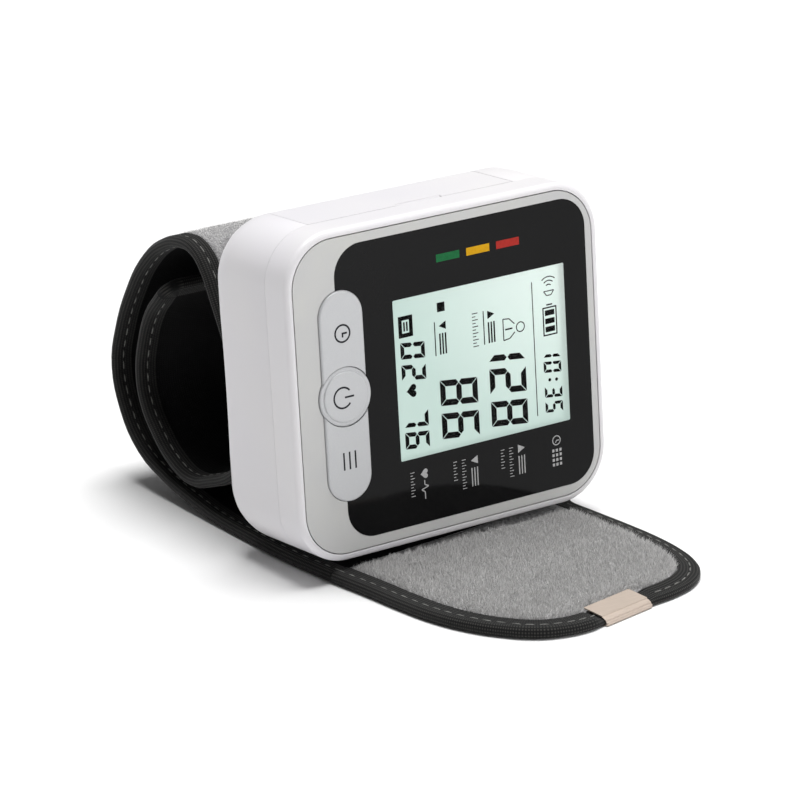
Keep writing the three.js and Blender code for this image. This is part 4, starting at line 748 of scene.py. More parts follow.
for i, (colour, dark, light) in enumerate(BAR_INKS):
    scale_bar = bmesh.new()
    tile(scale_bar, BAR_ACROSS, BAR_FIRST + i * BAR_STEP, *BAR_SIZE)
    piece("scale_bar_" + colour, printed(scale_bar, *PRINT_DEPTHS), ink(colour + "_ink", dark, light),
          sharp=30)
legend = bmesh.new()
for up, way in ((18, 1), (5, -1)):
    row_mark(legend, 21.6, up, way, 23.3, LEGEND_RIGHT, 0.3)
    ticks(legend, LEGEND_LEFT, LEGEND_RIGHT, up - 3.4, 1.1, 11, TICK)
    ticks(legend, LEGEND_LEFT, 25.2, up - 5.7, 1, 7, TICK)
# The pulse row: a heart, a beat and its scale.
heart(legend, (21.8, -8.5), 2.2)
beat = ((23.3, -8.6), (24.3, -8.6), (24.8, -7.6), (25.4, -9.5), (26, -8.6), (LEGEND_RIGHT, -8.6))
strokes(legend, 0.24, *zip(beat, beat[1:]))
ticks(legend, LEGEND_LEFT, 26.4, -12.3, 1.1, 9, TICK)
# The clock row: a clock face and a calendar of dots.
clock = (21.9, 27.8)
arc(legend, clock, 1.05, 0.22)
strokes(legend, 0.2, (clock, (21.9, 28.5)), (clock, (22.4, 27.5)))
for up in (26.8, 27.8, 28.8):
    for across in (24.2, 25.3, 26.4, 27.5):
        tile(legend, across, up, 0.66, 0.6)
piece("panel_legend", printed(legend, *PRINT_DEPTHS), ink("grey_ink", "#B4B4B4", "#C2C2C2"),
      sharp=30)

# Keys
# Three caps moulded in soft grey rubber and sprayed to match the plate: a round power key between
# two long ones. Each has a flange behind the front wall and a printed sign, and moves in on its own.
KEY_PROUD = 0.6
KEY_BACK = 3.6
KEY_ROUND = 0.5
KEY_GAP = 0.06
KEY_STEPS = 64
FLANGE = (3.3, 4.1)
FLANGE_GROW = 0.8
FLANGE_ROOM = 0.3
COLLAR_PROUD = 0.48
COLLAR_ROUND = 0.3
DISC_RADIUS = 5.75
DISC_PROUD = 0.85
DISC_ROUND = 0.33
RUBBER_GRAIN = 0.3
KEY_CUT = (-9, 9)
BESIDE_KEY = 20
KEY_PRINT = (-0.01, 0.03)
SIGN = 0.42
POWER_SIGN_X = KEY_X - 1
SET_SIGN = -14.2
MEMORY_SIGN = (12.4, 16.4)

# Sprayed rubber: soft satin with a fine even grain.
key_rubber = mottled("sprayed_grey_rubber", "#C7C8CA", "#CBCCCE", RUBBER_GRAIN, (0.4, 0.5), (0.05, 0.05),
                     detail=3, Metallic=0.15)
key_ink = ink("dark_key_ink", "#26262B", "#2C2C31")
for name, way in (("set", 1), ("memory", -1)):
    cap = slab(*PILL, PILL[0] / 2, -KEY_PROUD, KEY_BACK, KEY_X)
    soften(cap, -KEY_PROUD, KEY_ROUND, 5)
    flange = slab(*[size + 2 * FLANGE_GROW for size in PILL], PILL[0] / 2 + FLANGE_GROW, *FLANGE, KEY_X)
    cap = carve(cap, [rod(POWER_KEY / 2 + KEY_GAP, *KEY_CUT, KEY_X, 0, KEY_STEPS)])
    cap = carve(cap, [flange], "UNION")
    room = POWER_KEY / 2 + FLANGE_GROW + FLANGE_ROOM
    power_room = rod(room, FLANGE[0] - FLANGE_GROW, KEY_CUT[1], KEY_X, 0, KEY_STEPS)
    other_half = block(KEY_X - BESIDE_KEY, KEY_X + BESIDE_KEY, *KEY_CUT, *sorted((0, -way * PILL[1])))
    cap = carve(cap, [power_room, other_half])
    piece("key_cap_" + name, cap, key_rubber, name + "_key", ["key_" + name], edge=0.25)
cap = rod(POWER_KEY / 2 - KEY_GAP, -COLLAR_PROUD, KEY_BACK, KEY_X, 0, KEY_STEPS)
soften(cap, -COLLAR_PROUD, COLLAR_ROUND, 4)
dome = rod(DISC_RADIUS, -DISC_PROUD, 0, KEY_X, 0, KEY_STEPS)
soften(dome, -DISC_PROUD, DISC_ROUND, 5)
cap = carve(cap, [dome, rod(POWER_KEY / 2 + FLANGE_GROW, *FLANGE, KEY_X, 0, KEY_STEPS)], "UNION")
piece("key_cap_power", cap, key_rubber, "power_key", ["key_power"], edge=0.2)


def key_sign(name, mark, proud):
    """Prints a sign on a key's cap, which stands proud by so much."""
    front, back = [depth - proud for depth in KEY_PRINT]
    piece("key_sign_" + name, printed(mark, front, back), key_ink, name + "_key")


mark = bmesh.new()
arc(mark, (0, POWER_SIGN_X), 2.3, SIGN, 128, 412, 32)
strokes(mark, SIGN, ((0, POWER_SIGN_X + 0.5), (0, POWER_SIGN_X + 2.9)))
key_sign("power", mark, DISC_PROUD)
mark = bmesh.new()
arc(mark, (SET_SIGN, KEY_X), 1.9, SIGN)
strokes(mark, SIGN, ((SET_SIGN, KEY_X - 0.2), (SET_SIGN, KEY_X + 1.2)),
        ((SET_SIGN, KEY_X), (SET_SIGN + 0.9, KEY_X)))
key_sign("set", mark, KEY_PROUD)
mark = bmesh.new()
for up in (-1.5, 0, 1.5):
    strokes(mark, SIGN, [(across, KEY_X + up) for across in MEMORY_SIGN])
key_sign("memory", mark, KEY_PROUD)

# Inner works
# Board, pump, valve, sensor, speaker, contacts and screws: bought parts of moulded plastic, stamped
# steel, glass-fibre board and silicone, clipped or screwed between the shells and seen through the doorway.
INNER_FINISHES = (
    # Moulded polystyrene: plain satin white.
    ("moulded_white_polystyrene", "#DCDBD7", "#E6E5E1", 0, 0.5, 8,
     "lcd_backlight lcd_holder switch_plunger_1 switch_plunger_2 switch_plunger_3"),
    # Moulded polyamide: black with a fine matt spark-eroded grain.
    ("moulded_black_polyamide", "#141415", "#1F1F21", 0, 0.6, 0.4,
     "contact_strip controller_chip switch_1 switch_2 switch_3 pump_head pressure_sensor cuff_nipple speaker "
     "arc_plate"),
    # Solder-masked board: green lacquer over a glass weave.
    ("green_glass_fibre_board", "#1A5433", "#24683F", 0, 0.35, 0.9, "main_board"),
    # Nickel-plated steel: bright, with faint stains.
    ("nickel_plated_steel", "#A6A8A9", "#C6C6C4", 1, 0.3, 2.5,
     "case_screw_1 case_screw_2 case_screw_3 case_screw_4 board_screw_1 board_screw_2 contact_bridge "
     "contact_positive contact_negative contact_spring_1 contact_spring_2 pump_motor pump_shaft valve_body "
     "valve_plunger"),
    # Silicone rubber: milky and dull.
    ("milky_silicone", "#C6C9C8", "#D6D8D7", 0, 0.5, 6, "air_manifold"),
)
ROUGH_SPREAD = 0.06
inner_finishes = {}
for name, dark, light, metallic, rough, grain, nodes in INNER_FINISHES:
    rough_range = (rough - ROUGH_SPREAD, rough + ROUGH_SPREAD)
    finish = mottled(name, dark, light, grain, rough_range, (0.08, 0.1), detail=3, Metallic=metallic)
    repaint(finish, *nodes.split())
    inner_finishes[name] = finish

# Dry cells
# Two AAA cells with steel ends in a printed plastic sleeve, without words. They lie head to tail
# under the battery door and are held by the springs at one end.
CELL_PROFILE = (
    (0, 0), (0, 4.3), (0.2, 4.7), (0.7, 4.9), (0.75, 5.2), (1, 5.25), (36, 5.25), (42.6, 5.25), (42.9, 5.2),
    (43, 4.8), (43.25, 4.4), (43.3, 2.5), (43.4, 1.9), (44.3, 1.9), (44.5, 1.6), (44.5, 0),
)
CELL_BAND = 36
CELL_SLEEVE = (0.72, 43)
FILM_MOTTLE = 3

# Printed sleeve: glossy shrink film with a faint stretch mottle, slate blue with a pale grey band.
blue_film = mottled("slate_blue_shrink_film", "#35455A", "#3E5067", FILM_MOTTLE, Roughness=0.3)
grey_film = mottled("pale_grey_shrink_film", "#B9BDC2", "#C6CACE", FILM_MOTTLE, Roughness=0.3)
for name, turn in (("aaa_cell_1", math.pi), ("aaa_cell_2", 0)):
    low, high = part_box(name)
    cell = bmesh.new()
    corners = [cell.verts.new((along, 0, radius)) for along, radius in CELL_PROFILE]
    outline = [cell.edges.new(pair) for pair in zip(corners, corners[1:])]
    bmesh.ops.spin(cell, geom=corners + outline, cent=(0, 0, 0), axis=(1, 0, 0), angle=math.tau, steps=48,
                   use_merge=True)
    bmesh.ops.remove_doubles(cell, verts=cell.verts[:], dist=TOUCHING)
    bmesh.ops.recalc_face_normals(cell, faces=cell.faces[:])
    for face in cell.faces:
        along = face.calc_center_median().x
        if CELL_SLEEVE[0] < along < CELL_SLEEVE[1]:
            face.material_index = 1 if along < CELL_BAND else 2
    start = Vector((high.x if turn else low.x, (low.y + high.y) / 2, (low.z + high.z) / 2))
    cell_place = Matrix.Translation(start) @ Matrix.Rotation(turn, 4, "Z") @ Matrix.Scale(MM, 4)
    made = piece("dry" + name[3:], cell, inner_finishes["nickel_plated_steel"], replaces=[name],
                 place=cell_place, sharp=35)
    made.data.materials.append(blue_film)
    made.data.materials.append(grey_film)

# Cuff strip
# One strip, 71.5 mm wide, of grey loop pile outside and black nylon over an air cushion inside. It comes
# from under the case, loops round the wrist's place, passes down the case's back and ends in a flap.
STRIP_HALF = 35.75
TAPE_LEG = 4.5
PILE_UNDER_TAPE = 0.55
PILE_TOP = 1.45
LINING_UNDER = 1.6
LINING_TOP = 2.2
STRIP_THICK = 2.75
ROUTE_STEPS = 8
ROUTE = (
    (2.31, -21.14, 0), (1.16, -10.14, 0), (0, 3.76, 0), (0, 16.99, 0), (0, 29, 0.2), (0, 41.01, 1.69),
    (0, 52.3, 3.8), (0, 64.2, 8.5), (0, 71.5, 17), (0, 74.4, 27.4), (0, 71.8, 37.4), (0, 66.5, 47.6),
    (0, 59.4, 56.8), (0, 50.8, 63.1), (0, 42.2, 65.7), (0, 36.2, 64.9), (0, 31.4, 61), (0, 27.4, 54.6),
    (0, 22.8, 46.8), (0, 18.7, 39.2), (0, 16.3, 31.8), (0, 15.86, 23.57), (0, 17.88, 17.53),
    (0, 22.89, 12.81), (0, 30.89, 9.17), (0, 40.9, 6.47), (0, 49.91, 8.77), (0, 56.91, 14.03),
    (0, 61.92, 20.57), (0, 63.59, 27.99), (0, 62.09, 36.01), (0, 58.19, 44.51), (0, 52.91, 50.31),
)
ROUTE_END = len(ROUTE) - 1
FIRST_PLACE = 0.9
FLAP_END = 5
FLAP_CORNER = 5
LAYERS_END = ROUTE_END + FLAP_END - 1.5
END_DRAW = 2.2
FUR_PLACES = (4.4, 16.4)
FUR_COUNT = 34000
FUR_LENGTHS = (0.3, 0.7)
FUR_FOOT = 0.09
FUR_SEED = 11
FUR_LEAN = 0.55
FUR_ROOT = 0.1
FUR_FLOOR = 1.6
FACING_OUT = -0.7
LOOP = 0.7
PILE_MOTTLE = 1.2


def smooth_line(knots, steps):
    """Points along a smooth curve through some knots, a few for each knot."""
    curve = bpy.data.curves.new("line", "CURVE")
    curve.dimensions = "3D"
    curve.resolution_u = steps
    spline = curve.splines.new("BEZIER")
    spline.bezier_points.add(len(knots) - 1)
    for knot, place in zip(spline.bezier_points, knots):
        knot.co = place
        knot.handle_left_type = "AUTO"
        knot.handle_right_type = "AUTO"
    line = add("line", curve)
    bpy.context.view_layer.update()
    mesh = line.evaluated_get(bpy.context.evaluated_depsgraph_get()).to_mesh()
    points = [vertex.co.copy() for vertex in mesh.vertices]
    bpy.data.objects.remove(line)
    return points


route = smooth_line(ROUTE, ROUTE_STEPS)


def station(at):
    """The strip at a place counted in route points: its point, and its ways across, along and inward."""
    spot = min(max(at, 0), ROUTE_END) * ROUTE_STEPS
    first = min(int(spot), len(route) - 2)
    share = spot - first
    point = route[first].lerp(route[first + 1], share)
    near = (route[first + 1] - route[max(first - 1, 0)]).normalized()
    far = (route[min(first + 2, len(route) - 1)] - route[first]).normalized()
    along = near.lerp(far, share).normalized()
    across = (Vector((1, 0, 0)) - along * along.x).normalized()
    return point + along * max(at - ROUTE_END, 0), across, along, across.cross(along)


def places_between(start, end, steps=4):
    """Places along the route from start to end, a few for each of its points."""
    count = max(round((end - start) * steps), 2)
    return [start + (end - start) * i / count for i in range(count + 1)]


def rise(value, low, high):
    """Smooth step from 0 at low to 1 at high."""
    share = min(max((value - low) / (high - low), 0), 1)
    return share * share * (3 - 2 * share)


def lofted(rows):
    """A closed skin through rows of points, which keeps its flat size as the UV map cloth."""
    bm = bmesh.new()
    cloth = bm.loops.layers.uv.new("cloth")
    count = len(rows[0])
    last = len(rows) - 1
    bmesh.ops.create_grid(bm, x_segments=count, y_segments=last, size=1)
    girths = []
    for row in rows:
        girths.append([0])
        for i in range(count):
            girths[-1].append(girths[-1][-1] + (row[(i + 1) % count] - row[i]).length)
    lengths = [0]
    for here, there in zip(rows, rows[1:]):
        lengths.append(lengths[-1] + (there[0] - here[0]).length)
    flat = {}
    for vertex in bm.verts:
        column = round((vertex.co.x + 1) / 2 * count)
        row = round((vertex.co.y + 1) / 2 * last)
        flat[vertex] = Vector((girths[row][column], lengths[row])) * MM
        vertex.co = rows[row][column % count]
    for face in bm.faces:
        for loop in face.loops:
            loop[cloth].uv = flat[loop.vert]
    bmesh.ops.remove_doubles(bm, verts=bm.verts[:], dist=0.0001)
    bmesh.ops.holes_fill(bm, edges=[edge for edge in bm.edges if edge.is_boundary])
    bmesh.ops.recalc_face_normals(bm, faces=bm.faces[:])
    return bm


def swept(places, section):
    """A closed skin along the strip; section(at) gives its outline as (across, inward) in mm."""
    rows = []
    for at in places:
        point, across, along, inward = station(at)
        rows.append([point + across * out + inward * depth for out, depth in section(at)])
    return lofted(rows)


def end_draw(at):
    """How much narrower the layers are at the flap's end, inside its rounded corners."""
    return END_DRAW * rise(at, ROUTE_END, LAYERS_END)


def pile_section(at):
    """Loop pile between the tapes, a little thinner where the tapes hold it."""
    half = STRIP_HALF - TAPE_LEG - end_draw(at)
    top = [(half - half * i / 3, PILE_TOP) for i in range(7)]
    low = [(-half, PILE_UNDER_TAPE), (-half + 0.5, 0.1)]
    low += [(half * share, 0) for share in (-0.8, -0.4, 0, 0.4, 0.8)]
    return top + low + [(half - 0.5, 0.1), (half, PILE_UNDER_TAPE)]


def hairs(faces, count, lengths, foot, seed):
    """Fine closed spikes on some triangles, as many on each as its size asks for, each with its own shade."""
    draw = random.Random(seed)
    bm = bmesh.new()
    coat = bm.loops.layers.uv.new("coat")
    for face in draw.choices(faces, [face.calc_area() for face in faces], k=count):
        one, two = draw.random(), draw.random()
        if one + two > 1:
            one, two = 1 - one, 1 - two
        first, second, third = (vertex.co for vertex in face.verts)
        root = first + (second - first) * one + (third - first) * two
        lean = Vector([draw.uniform(-1, 1) for axis in range(3)])
        up = (face.normal + lean * FUR_LEAN).normalized()
        length = draw.uniform(*lengths)
        shade = draw.random()
        side = up.orthogonal().normalized() * foot
        ring = [Matrix.Rotation(math.tau * turn / 3 + shade, 3, up) @ side for turn in range(3)]
        feet = [bm.verts.new(root - face.normal * FUR_ROOT + spoke) for spoke in ring]
        tip = bm.verts.new(root + up * length)
        sides = [(feet[0], feet[1], tip), (feet[1], feet[2], tip), (feet[2], feet[0], tip), feet[::-1]]
        for corners in sides:
            # The coat map's second value runs from root to tip, for the fibre material's painted shade at the
            # root and painted light at the tip.
            for loop in bm.faces.new(corners).loops:
                loop[coat].uv = (shade, 1 if loop.vert is tip else 0)
    return bm


# Brushed loop pile: grey nylon that scatters light, with a mottle of loops along the strip.
grey_pile, tree, shader = start_material("brushed_grey_loop_pile", Roughness=0.95, Sheen_Weight=0.3)
cloth_place = node(tree, "ShaderNodeUVMap", {"uv_map": "cloth"}).outputs["UV"]
loops = node(tree, "ShaderNodeTexVoronoi", None, {"Vector": cloth_place, "Scale": per_mm(LOOP)})
loops = loops.outputs["Distance"]
mottle = node(tree, "ShaderNodeTexNoise", None,
              {"Vector": cloth_place, "Scale": per_mm(PILE_MOTTLE), "Detail": 5}).outputs["Fac"]
node(tree, "ShaderNodeValToRGB", {"stops": ((0.3, "#7C7B7C"), (0.7, "#A6A5A6"))}, {"Fac": mottle},
     shader.inputs["Base Color"])
node(tree, "ShaderNodeBump", None, {"Height": loops, "Strength": 0.8, "Distance": 0.4 * MM},
     shader.inputs["Normal"])

# Pile fibre: fine grey nylon hairs, each a little lighter or darker, drawn paler overall as painted light for
# the light that upright hairs miss, with painted shade towards the root and painted light towards the tip.
pile_fibre, tree, shader = start_material("brushed_pile_fibre", Roughness=0.85, Sheen_Weight=0.2)
coat_place = node(tree, "ShaderNodeUVMap", {"uv_map": "coat"}).outputs["UV"]
# Half the hair's own random tone, half its height: painted shade at the root and painted light at the tip.
shade = node(tree, "ShaderNodeVectorMath", {"operation": "DOT_PRODUCT"}, {0: coat_place, 1: (0.5, 0.5, 0)})
node(tree, "ShaderNodeValToRGB", {"stops": ((0, "#A4A3A3"), (0.5, "#D8D7D6"), (1, "#F2F1F0"))},
     {"Fac": shade.outputs["Value"]}, shader.inputs["Base Color"])

strip_place = Matrix.Scale(MM, 4)
outer_places = places_between(FIRST_PLACE, ROUTE_END) + [LAYERS_END - 1.5, LAYERS_END]
pile_skin = swept(outer_places, pile_section)
fur_skin = swept(places_between(*FUR_PLACES), pile_section)
bmesh.ops.triangulate(fur_skin, faces=fur_skin.faces[:])
outer_faces = []
for face in fur_skin.faces:
    place = face.calc_center_median()
    nearest = min(places_between(*FUR_PLACES, 2), key=lambda at: (station(at)[0] - place).length)
    if face.normal.dot(station(nearest)[3]) < FACING_OUT and place.z > FUR_FLOOR:
        outer_faces.append(face)
fur = hairs(outer_faces, FUR_COUNT, FUR_LENGTHS, FUR_FOOT, FUR_SEED)
fur_skin.free()
cuff_fibres = piece("cuff_pile_fibres", fur, pile_fibre, place=strip_place, sharp=180)
cuff_pile = piece("cuff_pile", pile_skin, grey_pile, replaces=["cuff_outer_fabric"],
                  place=strip_place)

# Cuff padding
# The black nylon lining, welded over a flat air bladder and sewn in under the tapes, so it bulges
# between them behind the case. A springy plastic curler inside keeps the loop round.
PAD_RISE = (17, 19)
PAD_BEHIND_CASE = 6
FLAP_RISE = (22, 25)
PAD_IN_FLAP = 2.6
LINING_ACROSS = 20
LINING_EDGE = 1
DOME_POWER = 3.5
DOME_FULL = 1.25
LINING_THREAD = 0.55


def cushion(at):
    """Thickness of the air cushion: full behind the case, thinner in the flap."""
    back = rise(at, *PAD_RISE) * PAD_BEHIND_CASE
    flap = rise(at, *FLAP_RISE) * (PAD_BEHIND_CASE - PAD_IN_FLAP)
    return back - flap - rise(at, ROUTE_END - 2, ROUTE_END) * PAD_IN_FLAP


def lining_section(at):
    """Lining over the cushion: domed between the tapes, flat beneath them."""
    half = STRIP_HALF - LINING_EDGE - end_draw(at)
    lift = cushion(at)
    stay = STRIP_HALF - TAPE_LEG
    over = []
    under = []
    for i in range(LINING_ACROSS + 1):
        out = half - 2 * half * i / LINING_ACROSS
        dome = lift * min(1, (1 - min(abs(out) / stay, 1) ** DOME_POWER) * DOME_FULL)
        over.append((out, LINING_TOP + dome))
        under.append((-out, LINING_UNDER))
    return over + under


def woven(name, pitches, stops, relief, **sockets):
    """Woven cloth, higher where the threads across and along it cross, and paler there by painted light, with
    painted shade between the crossings. It has their two pitches in mm, and its relief has a strength and a
    depth in mm."""
    material, tree, shader = start_material(name, Specular_IOR_Level=0.2, **sockets)
    cloth_place = node(tree, "ShaderNodeUVMap", {"uv_map": "cloth"}).outputs["UV"]
    threads = []
    for way, pitch in zip("XY", pitches):
        threads.append(node(tree, "ShaderNodeTexWave", {"bands_direction": way},
                            {"Vector": cloth_place, "Scale": math.tau / 20 * per_mm(pitch)}).outputs["Fac"])
    weave = node(tree, "ShaderNodeMath", {"operation": "MULTIPLY"}, {0: threads[0], 1: threads[1]})
    # The crossings are paler: painted light on the raised threads, with painted shade between them.
    node(tree, "ShaderNodeValToRGB", {"stops": stops}, {"Fac": weave.outputs["Value"]},
         shader.inputs["Base Color"])
    node(tree, "ShaderNodeBump", None,
         {"Height": weave.outputs["Value"], "Strength": relief[0], "Distance": relief[1] * MM},
         shader.inputs["Normal"])
    return material


# Woven nylon: plain weave in matt black, paler on the threads' crossings by painted light and darker between
# them by painted shade; its threads are drawn coarser than they are so that they show.
black_nylon = woven("woven_black_nylon", (LINING_THREAD, LINING_THREAD), ((0, "#050506"), (1, "#131314")),
                    (0.5, 0.1), Roughness=0.85)
cuff_padding = piece("cuff_padding", swept(outer_places, lining_section), black_nylon,
                     replaces=["cuff_lining", "cuff_curler", "air_bladder"], place=strip_place)

# Edge tapes
# Ribbed charcoal nylon tape, folded over the strip's edges and round the flap's corners, and sewn
# through with one row of grey thread that shows on both faces.
TAPE = 0.4
RIBS = 5
RIB_STEPS = 4
RIB_DEPTH = 0.08
ROLL_STEPS = 8
TAPE_RIB = 0.72
TAPE_THREAD = 0.5
STITCH = (2.3, 0.32, 0.28)
STITCH_PITCH = 3.4
STITCH_INSET = 2.3
STITCH_SUNK = 0.03
OUTER_STITCH_SUNK = 0.15
SEAM_PLACES = 40
SEAM_END = ROUTE_END - 0.3
THREAD_TWIST = 0.5
CORNER_STEPS = 8
FLAP_STITCHES = 15


def tape_ring(roll, leg, top):
    """The folded tape's outline as (inset, height): a ribbed leg below, a round roll and a leg above."""
    valleys = []
    for i in range(RIBS * RIB_STEPS + 1):
        share = i / (RIBS * RIB_STEPS)
        valley = RIB_DEPTH * (0.5 - 0.5 * math.cos(share * RIBS * math.tau))
        valleys.append((roll + (leg - roll) * share, valley))
    outside = valleys[::-1]
    inside = [(leg, TAPE)]
    for i in range(ROLL_STEPS + 1):
        turn = -math.pi / 2 + math.pi * i / ROLL_STEPS
        outside.append((roll - roll * math.cos(turn), roll + roll * math.sin(turn)))
        inside.append((roll - (roll - TAPE) * math.cos(turn), roll + (roll - TAPE) * math.sin(turn)))
    for inset, valley in valleys:
        outside.append((inset, 2 * roll + (top - 2 * roll) * (inset - roll) / (leg - roll) - valley))
    inside.append((leg, top - TAPE))
    return outside + inside[::-1]


def edge_path(line):
    """Each point of a flat edge line with its way inward, to the right of the line."""
    path = []
    for i, spot in enumerate(line):
        ahead = line[min(i + 1, len(line) - 1)] - line[max(i - 1, 0)]
        path.append((spot, Vector((ahead.y, -ahead.x, 0)).normalized()))
    return path


def spaced(path, travelled):
    """The steps of a path, each of which opens with its point, that lie one stitch apart."""
    kept = []
    before = path[0][0]
    for step in path:
        travelled += (step[0] - before).length
        before = step[0]
        if travelled >= STITCH_PITCH:
            travelled -= STITCH_PITCH
            kept.append(step)
    return kept


def placed(*ways):
    """The matrix that has these three ways and a point as its columns."""
    return Matrix([[way[row] for way in ways] for row in range(3)] + [[0, 0, 0, 1]])


def sew(bm, spot, along, up):
    """One stitch: a short thread that dips in at both ends."""
    grown = [way * size / 2 for way, size in zip((along, up.cross(along), up), STITCH)]
    bmesh.ops.create_uvsphere(bm, u_segments=6, v_segments=4, radius=1, matrix=placed(*grown, spot))


# Woven tape: charcoal, with paler ribs along it that its cross threads cut into short bars; the paleness is
# painted light on the raised ribs and crossings, and the darker grooves between them are painted shade.
charcoal_tape = woven("ribbed_charcoal_tape", (TAPE_RIB, TAPE_THREAD), ((0.1, "#0A0A0B"), (0.9, "#3C3B38")),
                      (0.6, 0.12), Roughness=0.8, Sheen_Weight=0.1)

# Sewing thread: twisted grey polyester with a slight shine.
sewing_thread = mottled("grey_sewing_thread", "#5C5C59", "#8A8A86", THREAD_TWIST, relief=(0.3, 0.1),
                        Roughness=0.6)

cuff_roll = STRIP_THICK / 2
cuff_ring = tape_ring(cuff_roll, TAPE_LEG, STRIP_THICK)
cuff_seam = bmesh.new()
for side, name in ((-1, "left"), (1, "right")):
    tape = swept(places_between(FIRST_PLACE, ROUTE_END),
                 lambda at: [(side * (STRIP_HALF - inset), height) for inset, height in cuff_ring])
    made = piece("cuff_tape_" + name, tape, charcoal_tape, replaces=["binding_" + name],
                 place=strip_place)
    seam_path = [station(at) for at in places_between(FIRST_PLACE, SEAM_END, SEAM_PLACES)]
    for point, across, along, inward in spaced(seam_path, STITCH_PITCH):
        out = point + across * side * (STRIP_HALF - STITCH_INSET)
        sew(cuff_seam, out + inward * OUTER_STITCH_SUNK, along, -inward)
        sew(cuff_seam, out + inward * (STRIP_THICK - STITCH_SUNK), along, inward)

# The flap's end: the same tape, carried on round two corners.
flap_line = []
for side in (1, -1):
    for i in range(CORNER_STEPS + 1):
        share = i / CORNER_STEPS
        turn = math.pi / 2 * (share if side > 0 else 1 - share)
        flap_line.append(Vector((side * (STRIP_HALF - FLAP_CORNER + FLAP_CORNER * math.cos(turn)),
                                 FLAP_END - FLAP_CORNER + FLAP_CORNER * math.sin(turn), 0)))
flap_line.reverse()
point, across, along, inward = station(ROUTE_END)
flap_rows = [[spot + way * inset + Vector((0, 0, height)) for inset, height in cuff_ring]
             for spot, way in edge_path(flap_line)]
made = piece("cuff_tape_end", lofted(flap_rows), charcoal_tape, replaces=["binding_end"],
             place=strip_place @ placed(across, along, inward, point))
for i in range(FLAP_STITCHES):
    out = point + across * (i - FLAP_STITCHES // 2) * STITCH_PITCH + along * (FLAP_END - STITCH_INSET)
    sew(cuff_seam, out + inward * STITCH_SUNK, across, -inward)
    sew(cuff_seam, out + inward * (STRIP_THICK - STITCH_SUNK), across, inward)
piece("cuff_stitches", cuff_seam, sewing_thread, place=strip_place)

# Free tail
# The strip's tail lies in front of the case: grey pile above and below, with a wider tape sewn round
# its nose. It bends up on the fold line in front of the case.
TAIL_SKEW = math.radians(6)
TAIL_BACK = 10
TAIL_EDGE = (
    (35, TAIL_BACK), (34.9, 4), (34.8, -3), (34.6, -12), (33.9, -22), (32.4, -30.2), (30.3, -36.3),
    (27, -41.5), (21.6, -45.5), (14.5, -47.4), (6, -47.6), (-1, -48), (-8, -48.5), (-13.2, -49), (-20, -47.3),
    (-24.8, -44.2), (-29.2, -38.5), (-32.6, -31.3), (-34.7, -22.6), (-35.35, -13), (-35.4, -2),
    (-35.75, TAIL_BACK),
)
TAIL_STEPS = 6
SEAM_STEPS = 48
NOSE_ROLL = 0.95
NOSE_TOP = 2.35
TAIL_LEG = 5
THICKER_LEFT = (-10, 25)
THICKER_BACK = (7, TAIL_BACK)
UNDER_GAP = 0.05
UPPER_GAP = 0.3
PILE_RIM = 2.3
PILE_CROWN = 2.75
PILE_TAPER = 2.5
GRID_STEP = 3
GRID_SPANS = ((-33, 33), (-48, TAIL_BACK - 1))
TAIL_FUR = 46000
TAIL_FUR_LENGTHS = (0.6, 1.5)
TAIL_FUR_FOOT = 0.075
TAIL_FUR_SEED = 7
FACING_UP = 0.3
FUR_BACK = -15.9
CLIP_MIDDLE = (-1.2, -48.65)
CLIP_TURN = math.radians(4.8)
CLIP_WIDTH = 14.5
CLIP_REACH = 6.9
CLIP_BESIDE = 0.3
GRIP = 0.38
GRIP_SIDES = (CLIP_WIDTH / 2 - 0.2, CLIP_WIDTH / 2 + 3)
GRIP_BACK = (CLIP_REACH - 1.5, CLIP_REACH + 3)
UNSEWN_HALF = CLIP_WIDTH / 2 + 1
UNSEWN_FRONT = -40
TAIL_STITCH_SUNK = 0.02
TAIL_STITCH_UNDER = 0.16
skew = Matrix.Rotation(TAIL_SKEW, 4, "Z")
tail_place = Matrix.Translation(Vector(ROUTE[0]) * MM) @ skew @ Matrix.Scale(MM, 4)
tail_knots = [(x, y, 0) for x, y in TAIL_EDGE]
tail_line = smooth_line(tail_knots, TAIL_STEPS)


def pinched(spot):
    """A point of the tail, pressed down where the clip grips it."""
    beside = rise(abs(spot.x - CLIP_MIDDLE[0]), *GRIP_SIDES)
    behind = rise(spot.y - CLIP_MIDDLE[1], *GRIP_BACK)
    return Vector((spot.x, spot.y, spot.z * (1 - GRIP * (1 - beside) * (1 - behind))))


def tail_piece(name, bm, material, replaces=()):
    """A piece of the tail, with its mesh baked into the shared frame and no body of its own."""
    made = piece(name, bm, material, None, replaces, place=tail_place)
    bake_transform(made)
    return made


def tail_layer(inset, low, rim, crown):
    """A flat layer of the tail and its flat area: closed, thinner at its rim than inside."""
    bm = bmesh.new()
    outline = [spot + way * inset + Vector((0, 0, low)) for spot, way in edge_path(tail_line)]
    base = bm.faces.new([bm.verts.new(spot) for spot in outline])
    area = base.calc_area() * MM * MM
    top = pull(bm, [base], (0, 0, rim - low))
    if crown > rim:
        bmesh.ops.inset_region(bm, faces=top, thickness=PILE_TAPER, use_even_offset=True)
        bmesh.ops.translate(bm, verts=top[0].verts[:], vec=(0, 0, crown - rim))
    for way, (first, last) in zip((Vector((1, 0, 0)), Vector((0, 1, 0))), GRID_SPANS):
        for cut in range(first, last + 1, GRID_STEP):
            split(bm, way * cut, way)
    bmesh.ops.recalc_face_normals(bm, faces=bm.faces[:])
    cloth = bm.loops.layers.uv.new("cloth")
    for face in bm.faces:
        for loop in face.loops:
            loop[cloth].uv = loop.vert.co.xy * MM
    for vertex in bm.verts:
        vertex.co = pinched(vertex.co)
    return bm, area


